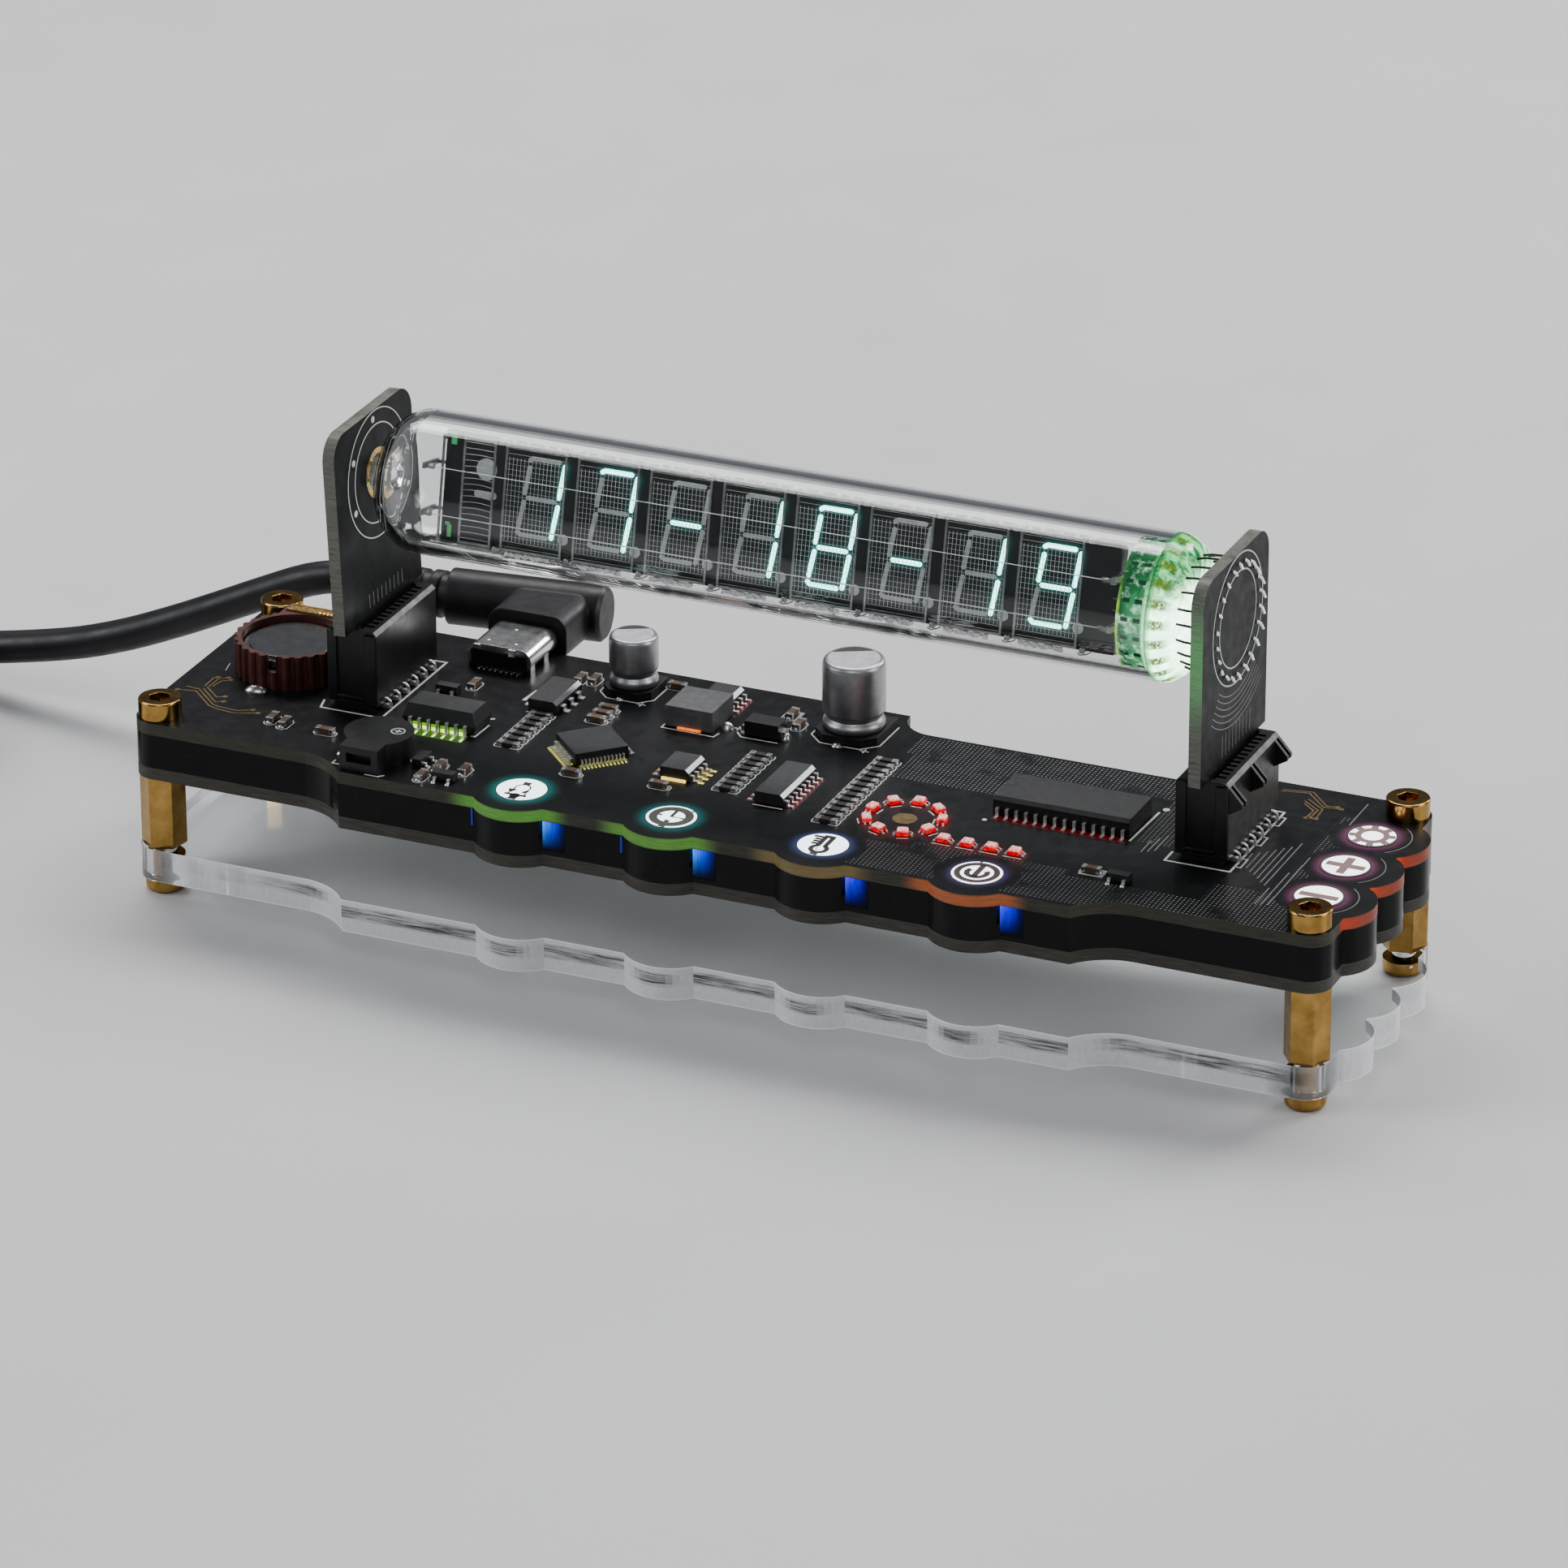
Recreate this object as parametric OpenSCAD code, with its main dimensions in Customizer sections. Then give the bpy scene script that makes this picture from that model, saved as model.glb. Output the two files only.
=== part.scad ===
// Desk clock with a vacuum fluorescent display tube.
// Two stacked black circuit boards stand on a clear base plate; the glass
// tube lies across the boards between two upright end cards that plug into
// card sockets. All lengths are in millimetres. Z is up, the origin is on the
// table in the middle of the clock's footprint, and the front faces -Y.

/* [Boards] */
// length of the boards between the straight end edges
board_l = 160; // [158:1:164]
// depth of the boards between the straight front and back edges
board_w = 40; // [40:0.5:42]
// thickness of each circuit board
board_t = 1.6; // [1.2:0.1:2]
// thickness of the black frame between the two boards
spacer_t = 4.5; // [4.2:0.1:6]
// thickness of the clear base plate
base_t = 4.4; // [3:0.2:6]
// height of the hexagonal standoffs
standoff_h = 9.8; // [9:0.2:14]
// distance of the corner screws from the edges, and the corner radius
corner_r = 3; // [3:0.1:3.4]
// how far the middle of the front edge stands forward
front_step = 3.6; // [3:0.1:4]
// half of the length of that middle section
front_half = 48.9; // [46:0.5:52]
// depth of the rounded recess in the back edge
recess_d = 4.5; // [3:0.5:5]

/* [Touch pads] */
// radius of a touch pad
pad_r = 3.15; // [2.6:0.05:3.6]
// spacing of the four pads in the front edge
pad_pitch = 20.24; // [19.5:0.01:20.5]
// radius of the round lobes around the front pads
lobe_r = 6.25; // [5.6:0.05:6.4]
// spacing of the three pads in the right edge
side_pitch = 9.3; // [9:0.1:9.6]
// radius of the round lobes around the side pads
side_lobe_r = 5.4; // [5:0.1:5.5]

/* [Fasteners] */
// outer radius of a top screw's head
head_r = 2.75; // [2.5:0.05:3]
// height of a top screw's head
head_h = 2.45; // [2:0.05:3]
// height of a foot screw's head
foot_h = 2; // [1.6:0.1:2.6]
// width across the flats of a standoff
standoff_af = 5; // [4.5:0.1:5.5]
// radius of a screw's shank
shank_r = 1.45; // [1.2:0.05:1.5]

/* [Tube] */
// outer radius of the glass tube
tube_r = 9.2; // [9:0.1:9.4]
// thickness of the glass
glass_t = 1; // [0.7:0.1:1.1]
// height of the tube's axis above the upper board
tube_z = 28.85; // [28:0.05:30]
// how far the plate with the digits leans back, in degrees
anode_lean = 11.5; // [8:0.5:14]
// spacing of the digits
digit_pitch = 9.845; // [9.7:0.005:9.9]
// number of pins at the end of the tube
pin_n = 22; // [18:1:24]
// first shown pair of digits
hours = 17; // [0:1:23]
// second shown pair of digits
minutes = 18; // [0:1:59]
// third shown pair of digits
seconds = 19; // [0:1:59]

/* [End cards] */
// thickness of an end card
card_t = 1.6; // [1.2:0.1:1.7]
// height of the cards' top edge above the upper board
card_top = 37.3; // [36.5:0.1:39]
// how far the left card leans outwards, in degrees
left_lean = 2.4; // [0:0.2:2.6]

/* [Card sockets] */
// width of a socket's body
socket_w = 6.85; // [6.5:0.05:7.2]
// length of a socket's body
socket_l = 17; // [16.6:0.1:18]
// height of a socket above the upper board
socket_h = 10.9; // [10.4:0.1:10.9]
// width of the slot for the card
slot_w = 2.4; // [2.3:0.1:2.6]

/* [Battery] */
// diameter of the coin cell
cell_d = 12.5; // [12:0.1:12.5]
// thickness of the coin cell
cell_t = 2; // [1.6:0.1:2.2]

/* [Cable] */
// diameter of the cable
cable_d = 4.4; // [4:0.1:4.5]

/* [Hidden] */
$fn = 64;
eps = 0.01;
half_l = board_l / 2;
half_w = board_w / 2;
scr_x = half_l - corner_r;
scr_y = half_w - corner_r;
// places of the front pads, and of the side pads
pad_x = [for (i = [0:3]) -25.6 + pad_pitch * i];
pad_y = -(half_w - 0.55);
side_x = half_l - 4.8;
side_y = [for (i = [-1:1]) 0.1 + side_pitch * i];
lobe_x = half_l - 3;
// heights of the layers, measured from the top face of the upper board
z_frame = -board_t;
z_lower = z_frame - spacer_t;
z_post = z_lower - board_t;
z_base = z_post - standoff_h;
z_foot = z_base - base_t;
top_z = -z_foot + foot_h;
// the origin lies under the middle of the footprint
off_x = -(lobe_x + side_lobe_r - half_l) / 2;
off_y = -(half_w + pad_y - lobe_r) / 2;
// concave arcs at the ends of the front section
step_x = 7.1;
step_r = (step_x * step_x + front_step * front_step) / (2 * front_step);
// recess in the back edge
rec_x0 = 14.15;
rec_x1 = 50.5;
// tube and cards
tube_y = 2.85;
glass_x0 = -53.8;
glass_x1 = 51;
tube_end = 54.5;
left_x = -55.45;
right_x = 58.8;
sock_y = 2.65;
pin_ring = 7.2;
card_y0 = -8.75;
card_y1 = 13.1;
card_low = 11.1;
tongue_y0 = -4.6;
tongue_y1 = 9.9;
tongue_low = 3.2;
lean_z = 6;
// digits
first_dot = -29.32;
face_d = 0.5;
seg_w = 0.65;
shown = [floor(hours / 10), hours % 10, 10, floor(minutes / 10),
         minutes % 10, 10, floor(seconds / 10), seconds % 10];
// segments a to g that are lit for 0 to 9 and for a dash
lit_of = [[1,1,1,1,1,1,0], [0,1,1,0,0,0,0], [1,1,0,1,1,0,1],
          [1,1,1,1,0,0,1], [0,1,1,0,0,1,1], [1,0,1,1,0,1,1],
          [1,0,1,1,1,1,1], [1,1,1,0,0,0,0], [1,1,1,1,1,1,1],
          [1,1,1,1,0,1,1], [0,0,0,0,0,0,1]];
// ends of the segments a to g, from the cell's dot
seg_at = [[[-5.0, 5.1], [-1.0, 5.1]], [[-0.35, 4.9], [-0.92, 0.55]],
          [[-0.98, -0.3], [-1.62, -4.7]], [[-6.1, -4.65], [-2.1, -4.65]],
          [[-5.62, -0.3], [-6.26, -4.1]], [[-5.06, 4.4], [-5.62, 0.5]],
          [[-5.3, 0.1], [-1.3, 0.1]]];
dot_w = -4.45;
// coin cell holder
cell_x = -68.1;
cell_y = 2.6;
cell_z = 1.9;
holder_h = 4.6;
// socket for the power lead, and the plug in it
usb_x = -43.8;
usb_z = 1.63;
usb_y0 = 12.3;
usb_y1 = 20;
lead_y = 28.15;
lead_z = 1.6;
// capacitors: place, radius of the can, top of the can, side of the foot
caps = [[-25.6, 13.7, 3.15, 7.7, 6.6], [5.1, 12.7, 4, 10.2, 8.4]];
// rows of chip resistors: place, first and last y, count
rows_r = [[-32.8, -8.2, 1.5, 7], [-2.5, -9.5, 1.2, 8], [12.5, -13.1, 5.8, 13]];
// chip capacitors standing alone: place, turn
lone_c = [[-25.8, 2.8, 0], [-25.8, 4.6, 0], [-25.8, 6.4, 0], [-63.2, -13, 90],
          [-61.2, -13.6, 90], [-55.4, -13.9, 0], [-44.5, 6.5, 90],
          [-38.5, -21.2, 90], [-37.6, -17.7, 90], [-34.3, -17.6, 90],
          [47.7, -13.7, 0], [-32.9, 13.4, 90], [-31.1, 13.8, 90],
          [-20.7, 16.2, 0], [-21.9, -13, 0], [-10.4, -12, 0], [-3.9, 14, 90],
          [-1.8, 11.4, 90]];
// small transistors with two leads in front and one behind: place, turn
sots = [[-46.8, 3.6, 0], [-40.4, -17.2, 90], [-35.6, -20.5, 0],
        [51.6, -14.6, 0]];
// red lamps on the board: a ring and a tail
ring_x = 21;
ring_y = -8.5;
ring_n = 9;
tail_x = [for (i = [0:3]) 27.9 + 3.12 * i];
tail_y = -12.6;
// chips with leads on two sides: x, y, length, width, height, leads a side,
// spacing of the leads, turn (0 puts the leads at the front and the back)
soic = [[-9.5, -7, 4.9, 3.9, 1.5, 4, 1.27, 90],
        [4.2, -6.6, 9.9, 3.9, 1.5, 8, 1.27, 90],
        [-33.1, 6.2, 7.6, 3.9, 1.6, 3, 2.2, 90],
        [-13.6, 14.2, 4.9, 3.9, 1.5, 4, 1.27, 90]];
// tall clock chip beside the left socket, in the same order
rtc = [-42.65, -5.2, 10.1, 5, 3, 7, 1.27, 0];
driver = [39.4, 0.6, 17.9, 7.5, 2.4, 14, 1.27, 0];
mcu = [-22.5, -5.5, 7, 1.5, 12, 0.5, -45];
// route of the cable from the plug to the coil, on the table's surface
coil_x = -154;
coil_y = 4;
coil_r = 30;
coil_z = 0.5;
turn_gap = 4.6;
drop = (top_z + lead_z - 2.2) / (25.5 - 2.2);
route = [[-71, 31, 25.5], [-75, 31, 25.5], [-80, 31, 24.2], [-86, 31, 21.5],
         [-93, 31, 18.1], [-100, 31, 14.8], [-107, 31, 11.8], [-114, 31, 9.4],
         [-121, 31.2, 7.6], [-128, 31.6, 6], [-135, 32.3, 4.4],
         [-142, 33.2, 3.2], [-148, 33.8, 2.8], [-154, 34, 2.7]];
tail_route = [[-154, 34, 7.3], [-161, 34, 7], [-168, 34, 6.2], [-174, 34, 5.3],
              [-180, 33.8, 4.5], [-186, 32, 4.1], [-191, 28.5, 4.1],
              [-194.5, 23, 4.1], [-196, 17, 4.1], [-196, 11, 4.1]];
plug_x = -196;
plug_y = 11;

// ---- helpers -------------------------------------------------------------

// everything on the boards is placed from the middle of the upper board's top
module on_board() translate([off_x, off_y, top_z]) children();

// the tube's own frame: X along the tube, Y up in the leaning plate, Z out of
// the plate towards the viewer
module in_tube() on_board() translate([0, tube_y, tube_z])
    rotate([90 - anode_lean, 0, 0]) children();

module at_corners() for (x = [-1, 1], y = [-1, 1])
    translate([x * scr_x, y * scr_y, 0]) children();

module box(x0, x1, y0, y1, z0, z1) translate([x0, y0, z0])
    cube([x1 - x0, y1 - y0, z1 - z0]);

// a flat oval with round ends, lying along X
module oval(w, h) {
    square([w - h, h], center = true);
    for (s = [-1, 1]) translate([s * (w - h) / 2, 0]) circle(d = h);
}

// outline that all four plates share
module outline() difference() {
    union() {
        square([2 * half_l, 2 * scr_y], center = true);
        square([2 * scr_x, 2 * half_w], center = true);
        for (x = [-1, 1], y = [-1, 1])
            translate([x * scr_x, y * scr_y]) circle(corner_r);
        difference() {
            translate([-front_half - step_x, -half_w - front_step])
                square([2 * (front_half + step_x), front_step + 2]);
            for (s = [-1, 1])
                translate([s * (front_half + step_x), 0.04 - half_w - step_r])
                    circle(step_r);
        }
        for (x = pad_x) translate([x, pad_y]) circle(lobe_r);
        for (y = side_y) translate([lobe_x, y]) circle(side_lobe_r);
    }
    for (x = [rec_x0, rec_x1]) translate([x, half_w]) circle(recess_d);
    translate([rec_x0, half_w - recess_d])
        square([rec_x1 - rec_x0, 2 * recess_d]);
}

// a plate of that outline with its four screw holes
module plate(z, t) translate([0, 0, z]) linear_extrude(t) difference() {
    outline();
    for (x = [-1, 1], y = [-1, 1])
        translate([x * scr_x, y * scr_y]) circle(shank_r + 0.15);
}

// ---- the stack -----------------------------------------------------------

module foot_screws() color([0.80, 0.62, 0.28]) on_board() at_corners() {
    rotate_extrude() translate([0, z_foot - foot_h]) {
        translate([0, 0.8]) square([2.6, foot_h - 0.8]);
        square([1.8, 1]);
        intersection() {
            translate([1.8, 0.8]) circle(0.8);
            square([2.6, 0.9]);
        }
    }
    translate([0, 0, z_foot - eps]) cylinder(r = shank_r, h = base_t + 3.5);
}

module base_plate() color([0.85, 0.88, 0.88, 0.5]) on_board()
    plate(z_foot, base_t);

module standoffs() color([0.80, 0.62, 0.28]) on_board()
    for (i = [0:3]) let (x = i % 2 == 0 ? -1 : 1, y = i < 2 ? -1 : 1)
        translate([x * scr_x, y * scr_y, z_base]) difference() {
            rotate([0, 0, [20, 6, 41, 12][i]])
                cylinder(d = standoff_af / cos(30), h = standoff_h, $fn = 6);
            translate([0, 0, -1]) cylinder(r = shank_r + 0.05, h = 5);
            translate([0, 0, standoff_h - 4.5])
                cylinder(r = shank_r + 0.05, h = 6);
        }

module lower_board() color([0.05, 0.05, 0.055]) on_board()
    plate(z_post, board_t);

module spacer_frame() color([0.03, 0.03, 0.03]) on_board() difference() {
    plate(z_lower, spacer_t);
    box(-half_l + 8, half_l - 8, -half_w + 4.5, half_w - 8, z_lower - 1,
        z_frame + 1);
    for (x = pad_x) box(x + 4.4, x + 6.9, -half_w - 8, -half_w + 5,
                        z_frame - 2.4, z_frame + 1);
}

// side-firing lamps under the upper board, behind the windows of the frame
module window_lamps() color([0.35, 0.55, 0.95]) on_board()
    for (x = pad_x) box(x + 4.7, x + 6.6, -half_w - 1.2, -half_w + 0.3,
                        z_frame - 1.9, z_frame);

module main_board() color([0.05, 0.05, 0.055]) on_board()
    plate(z_frame, board_t);

module top_screws() color([0.80, 0.62, 0.28]) on_board() at_corners() {
    difference() {
        rotate_extrude() {
            square([head_r, head_h - 0.25]);
            square([head_r - 0.25, head_h]);
            translate([head_r - 0.25, head_h - 0.25]) circle(0.25);
        }
        translate([0, 0, head_h - 1.4])
            cylinder(d = 2.5 / cos(30), h = 3, $fn = 6);
    }
    translate([0, 0, z_post - 4]) cylinder(r = shank_r, h = -z_post + 4 + eps);
}

module touch_pads() color([0.92, 0.93, 0.95]) on_board() {
    for (x = pad_x) translate([x, pad_y, 0]) cylinder(r = pad_r, h = 0.08);
    for (y = side_y) translate([side_x, y, 0]) cylinder(r = pad_r, h = 0.08);
}

// ---- card sockets and end cards -------------------------------------------

module socket(x) translate([x, sock_y, 0]) difference() {
    union() {
        rotate([90, 0, 0]) linear_extrude(socket_l, center = true)
            polygon([[-socket_w / 2, 0.8], [socket_w / 2, 0.8],
                     [socket_w / 2, socket_h - 0.5],
                     [socket_w / 2 - 0.5, socket_h],
                     [-socket_w / 2 + 0.5, socket_h],
                     [-socket_w / 2, socket_h - 0.5]]);
        for (s = [-1, 1])
            box(-socket_w / 2 + 0.8, socket_w / 2 - 0.8,
                s * (socket_l / 2 - 0.9) - 0.9, s * (socket_l / 2 - 0.9) + 0.9,
                0, 1);
    }
    box(-slot_w / 2, slot_w / 2, -7.7, 7.7, 2.4, socket_h + 1);
    for (i = [0:11], s = [-1, 1])
        box(s > 0 ? slot_w / 2 - 0.1 : -slot_w / 2 - 1.1,
            s > 0 ? slot_w / 2 + 1.1 : -slot_w / 2 + 0.1,
            (i - 5.5) * 1.22 - 0.28, (i - 5.5) * 1.22 + 0.28,
            socket_h - 2.4, socket_h + 1);
}

module left_socket() color([0.07, 0.07, 0.07]) on_board() socket(left_x);

// the right socket also has sloping rails on its outer side
module right_socket() color([0.07, 0.07, 0.07]) on_board() {
    socket(right_x);
    for (y = [-7.65, -0.5, 7.65], s = [-0.55, 0.55])
        translate([right_x + socket_w / 2 - 0.3, sock_y + y + s, 0])
            rotate([90, 0, 0]) linear_extrude(0.55, center = true)
                polygon([[0, 10.2], [0.3, 10.4], [2, 8.5], [2, 8], [0, 6.8]]);
}

// solder tails of both sockets, along their long sides
module socket_contacts() color([0.75, 0.75, 0.76]) on_board()
    for (x = [left_x, right_x], s = [-1, 1], i = [0:5])
        translate([x, sock_y + (i - 2.5) * 2.54, 0])
            box(s > 0 ? socket_w / 2 - 1.2 : -socket_w / 2 - 0.7,
                s > 0 ? socket_w / 2 + 0.7 : -socket_w / 2 + 1.2,
                -0.3, 0.3, 0, 0.5);

// outline of a card, drawn with Y to the right and Z up
module card_shape() {
    r = 3.3;
    translate([card_y0, card_low])
        square([card_y1 - card_y0, card_top - card_low - r]);
    translate([card_y0 + r, card_top - r - 1])
        square([card_y1 - card_y0 - 2 * r, r + 1]);
    for (y = [card_y0 + r, card_y1 - r])
        translate([y, card_top - r]) circle(r);
    translate([tongue_y0, tongue_low])
        square([tongue_y1 - tongue_y0, card_low - tongue_low + 1]);
}

module left_card() color([0.06, 0.06, 0.065]) on_board()
    translate([left_x, 0, lean_z]) rotate([0, -left_lean, 0])
        translate([-card_t / 2, 0, -lean_z]) rotate([90, 0, 90])
            linear_extrude(card_t) difference() {
                card_shape();
                translate([tube_y, tube_z]) circle(2.5);
            }

module right_card() color([0.06, 0.06, 0.065]) on_board()
    translate([right_x - card_t / 2, 0, 0]) rotate([90, 0, 90])
        linear_extrude(card_t) difference() {
            card_shape();
            for (i = [0:pin_n - 1])
                translate([tube_y + pin_ring * cos(360 * (i + 0.5) / pin_n),
                           tube_z + pin_ring * sin(360 * (i + 0.5) / pin_n)])
                    circle(0.4);
        }

// ---- the tube ------------------------------------------------------------

// half section of the closed end: radius to the right, the tube's X upwards
module tube_half(r, shoulder, x0) {
    translate([0, glass_x0 + 5.5]) square([r, glass_x1 - glass_x0 - 5.5]);
    translate([0, x0]) square([r - shoulder, 8]);
    intersection() {
        translate([r - shoulder, glass_x0 + 5.5]) circle(shoulder);
        translate([0, x0 - 1]) square([r + 1, 20]);
    }
}

module tube_glass() color([0.75, 0.80, 0.80, 0.4]) on_board()
    translate([0, tube_y, tube_z]) rotate([0, 90, 0]) rotate_extrude()
        difference() {
            union() {
                tube_half(tube_r, 5.5, glass_x0);
                translate([0, glass_x0 - 2.2]) square([1.9, 3]);
                intersection() {
                    translate([0, glass_x0 - 2.2]) circle(1.9);
                    translate([0, glass_x0 - 6]) square([3, 4]);
                }
            }
            tube_half(tube_r - glass_t, 5.5 - glass_t, glass_x0 + glass_t);
            translate([0, glass_x1 - 1]) square([tube_r - glass_t, 2]);
        }

module tube_base() color([0.80, 0.92, 0.82]) on_board()
    translate([0, tube_y, tube_z]) rotate([0, 90, 0]) {
        translate([0, 0, 47])
            cylinder(r = tube_r - glass_t - 0.2, h = glass_x1 - 47 + eps);
        rotate_extrude() {
            translate([0, glass_x1]) square([tube_r - 3.5, tube_end - glass_x1]);
            intersection() {
                translate([tube_r - 3.5, glass_x1]) circle(3.5);
                translate([0, glass_x1]) square([tube_r + 1, 6]);
            }
        }
    }

module tube_pins() color([0.78, 0.78, 0.77]) on_board()
    translate([0, tube_y, tube_z])
        for (i = [0:pin_n - 1]) let (a = 360 * (i + 0.5) / pin_n)
            translate([0, pin_ring * cos(a), pin_ring * sin(a)])
                rotate([0, 90, 0]) {
                    translate([0, 0, tube_end - 0.9])
                        cylinder(r = 0.28, h = right_x + card_t / 2 + 1.5
                                              - tube_end, $fn = 16);
                    translate([0, 0, right_x + card_t / 2])
                        cylinder(r = 0.7, h = 0.35, $fn = 16);
                }

module anode_plate() color([0.10, 0.10, 0.11]) in_tube()
    box(-46, 44.4, -7.2, 7, face_d - 1.1, face_d);

// a straight segment with pointed ends between two points
module bar_seg(p, q, w) {
    d = q - p;
    u = d / norm(d);
    n = [-u[1], u[0]] * w / 2;
    polygon([p, p + u * w / 2 + n, q - u * w / 2 + n, q,
             q - u * w / 2 - n, p + u * w / 2 - n]);
}

module digit(k, want) let (x = first_dot + digit_pitch * k)
    for (s = [0:6]) if (lit_of[shown[k]][s] == want)
        bar_seg(seg_at[s][0] + [x, 0], seg_at[s][1] + [x, 0], seg_w);

module lit_segments() color([0.70, 1.0, 0.95]) in_tube()
    translate([0, 0, face_d]) linear_extrude(0.08)
        for (k = [0:7]) digit(k, 1);

module dark_segments() color([0.45, 0.50, 0.48]) in_tube()
    translate([0, 0, face_d]) linear_extrude(0.08) {
        for (k = [0:7]) {
            digit(k, 0);
            translate([first_dot + digit_pitch * k, dot_w])
                circle(d = 1.45, $fn = 24);
        }
        translate([-40.3, 2.8]) circle(d = 2.8, $fn = 32);
        translate([-41.7, -0.85]) square([2.9, 0.9]);
    }

// thin frames that hold the control mesh in front of each cell
module grid_frames() color([0.55, 0.56, 0.56]) in_tube()
    translate([0, 0, 2.1]) linear_extrude(0.12) {
        for (k = [0:7]) difference() {
            translate([first_dot + digit_pitch * k - 7.8, -6.6])
                square([8.4, 13.5]);
            translate([first_dot + digit_pitch * k - 7.5, -6.3])
                square([7.8, 12.9]);
        }
        difference() {
            translate([-42.9, -6.6]) square([4.5, 13.5]);
            translate([-42.6, -6.3]) square([3.9, 12.9]);
        }
    }

module filament_wires() color([0.60, 0.58, 0.55]) in_tube()
    for (w = [-3.2, 2.7]) translate([-47.3, w, 3.4]) rotate([0, 90, 0])
        cylinder(r = 0.06, h = 91.7, $fn = 8);

// posts at both ends that stretch the two wires, and an open frame on the right
module filament_supports() color([0.60, 0.60, 0.60]) in_tube() {
    for (w = [-3.2, 2.7]) {
        box(-47.6, -46, w - 0.2, w + 0.2, -0.4, 0);
        box(-47.7, -47.3, w - 0.35, w + 0.35, -0.4, 3.7);
        box(44.4, 45, w - 0.4, w + 0.4, -0.4, 3.7);
    }
    difference() {
        box(44.6, 46.9, -7, 7, 0, 0.4);
        box(45, 46.6, -6.6, 6.6, -1, 1);
    }
}

// upright wire beside the sign at the closed end, held by two short tabs
module end_wire() color([0.45, 0.45, 0.45]) in_tube() {
    translate([-45.7, -6.9, 2]) rotate([-90, 0, 0])
        cylinder(r = 0.16, h = 13.5, $fn = 16);
    for (w = [-6.5, 6.2]) box(-45.95, -45.45, w - 0.2, w + 0.2, face_d, 1.95);
}

// lamp on the inner face of the right card that lights the tube's base
module base_lamp() color([0.65, 1.0, 0.75]) on_board()
    box(right_x - card_t / 2 - 0.9, right_x - card_t / 2, tube_y - 1.6,
        tube_y + 1.6, tube_z - 1.4, tube_z + 1.4);

// ---- power socket and lead -------------------------------------------------

// runs an oval shape along Y between two places, centred on the power socket
module usb_run(y0, y1) translate([usb_x, y1, usb_z]) rotate([90, 0, 0])
    linear_extrude(y1 - y0) children();

// metal shell with a closed inner end, and legs along both sides
module usb_receptacle() color([0.78, 0.78, 0.77]) on_board() {
    usb_run(usb_y0, usb_y1) difference() {
        oval(8.94, 3.26);
        oval(8.5, 2.7);
    }
    usb_run(usb_y0, usb_y0 + 0.5) oval(8.6, 2.9);
    for (s = [-1, 1], y = [usb_y0, usb_y0 + 4])
        translate([usb_x + s * 4.3, 0, 0])
            box(-0.11, 0.11, y, y + 1.3, 0, usb_z);
}

module usb_tongue() color([0.08, 0.08, 0.08]) on_board()
    usb_run(usb_y0 + 0.5, usb_y1 - 1.5) square([6.6, 0.7], center = true);

module usb_plug_tip() color([0.75, 0.75, 0.74]) on_board()
    usb_run(usb_y0 + 1.3, usb_y1 + 0.6) difference() {
        oval(8.25, 2.4);
        oval(7.1, 1.25);
    }

// right-angled moulding: a block behind the socket and a barrel along the back
// that is turned a little, so that its flat end lies further from the clock
module usb_plug_body() color([0.05, 0.05, 0.05]) on_board() {
    translate([usb_x, lead_y + 0.75, lead_z]) rotate([90, 0, 0])
        linear_extrude(lead_y - usb_y1 + 0.15) {
            square([11, 2.2], center = true);
            square([7, 6.2], center = true);
            for (x = [-1, 1], z = [-1, 1])
                translate([x * 3.5, z * 1.1]) circle(2);
        }
    translate([-58, lead_y, lead_z]) rotate([0, 0, 7]) rotate([0, 90, 0]) {
        cylinder(r = 3.7, h = 20.4);
        translate([0, 0, 20.4]) cylinder(r1 = 3.7, r2 = 3.2, h = 0.5);
    }
}

// ribbed sleeve on the cable; its first end follows the barrel's turned end
module strain_relief() color([0.05, 0.05, 0.05]) on_board() difference() {
    translate([-57.4, lead_y, lead_z]) rotate([0, -90, 0]) {
        cylinder(r1 = 2.9, r2 = 2.4, h = 12.4);
        for (i = [0:3]) translate([0, 0, 1.8 + 2.6 * i])
            cylinder(r = 3.1 - 0.12 * i, h = 1.3);
    }
    translate([-58, lead_y, lead_z]) rotate([0, 0, 7]) box(0, 5, -5, 5, -5, 5);
}

// tube swept along a list of points
function unit(v) = v / norm(v);
function dir_at(p, i) = unit(p[min(i + 1, len(p) - 1)] - p[max(i - 1, 0)]);
function side_at(p, i) = unit(cross([0, 0, 1], dir_at(p, i)));
function ring_at(p, i, r, n) = let (s = side_at(p, i), u = cross(dir_at(p, i), s))
    [for (k = [0:n - 1]) p[i] + r * (cos(360 * k / n) * s + sin(360 * k / n) * u)];
module sweep(p, r, n) polyhedron(
    points = [for (i = [0:len(p) - 1]) each ring_at(p, i, r, n)],
    faces = concat(
        [[for (k = [0:n - 1]) k]],
        [for (i = [0:len(p) - 2], k = [0:n - 1])
            [i * n + k, (i + 1) * n + k, (i + 1) * n + (k + 1) % n,
             i * n + (k + 1) % n]],
        [[for (k = [n - 1:-1:0]) (len(p) - 1) * n + k]]));

function dropped(p) = [for (q = p) [q[0], q[1], 2.2 + (q[2] - 2.2) * drop]];

module cable() color([0.04, 0.04, 0.04])
    sweep(dropped(route), cable_d / 2, 10);

// the rest of the lead, wound into a flat coil of two layers
module cable_coil() color([0.04, 0.04, 0.04])
    translate([coil_x, coil_y, coil_z]) rotate_extrude()
        translate([coil_r - 15.5, 0]) square([17.9, 9.2]);

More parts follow.
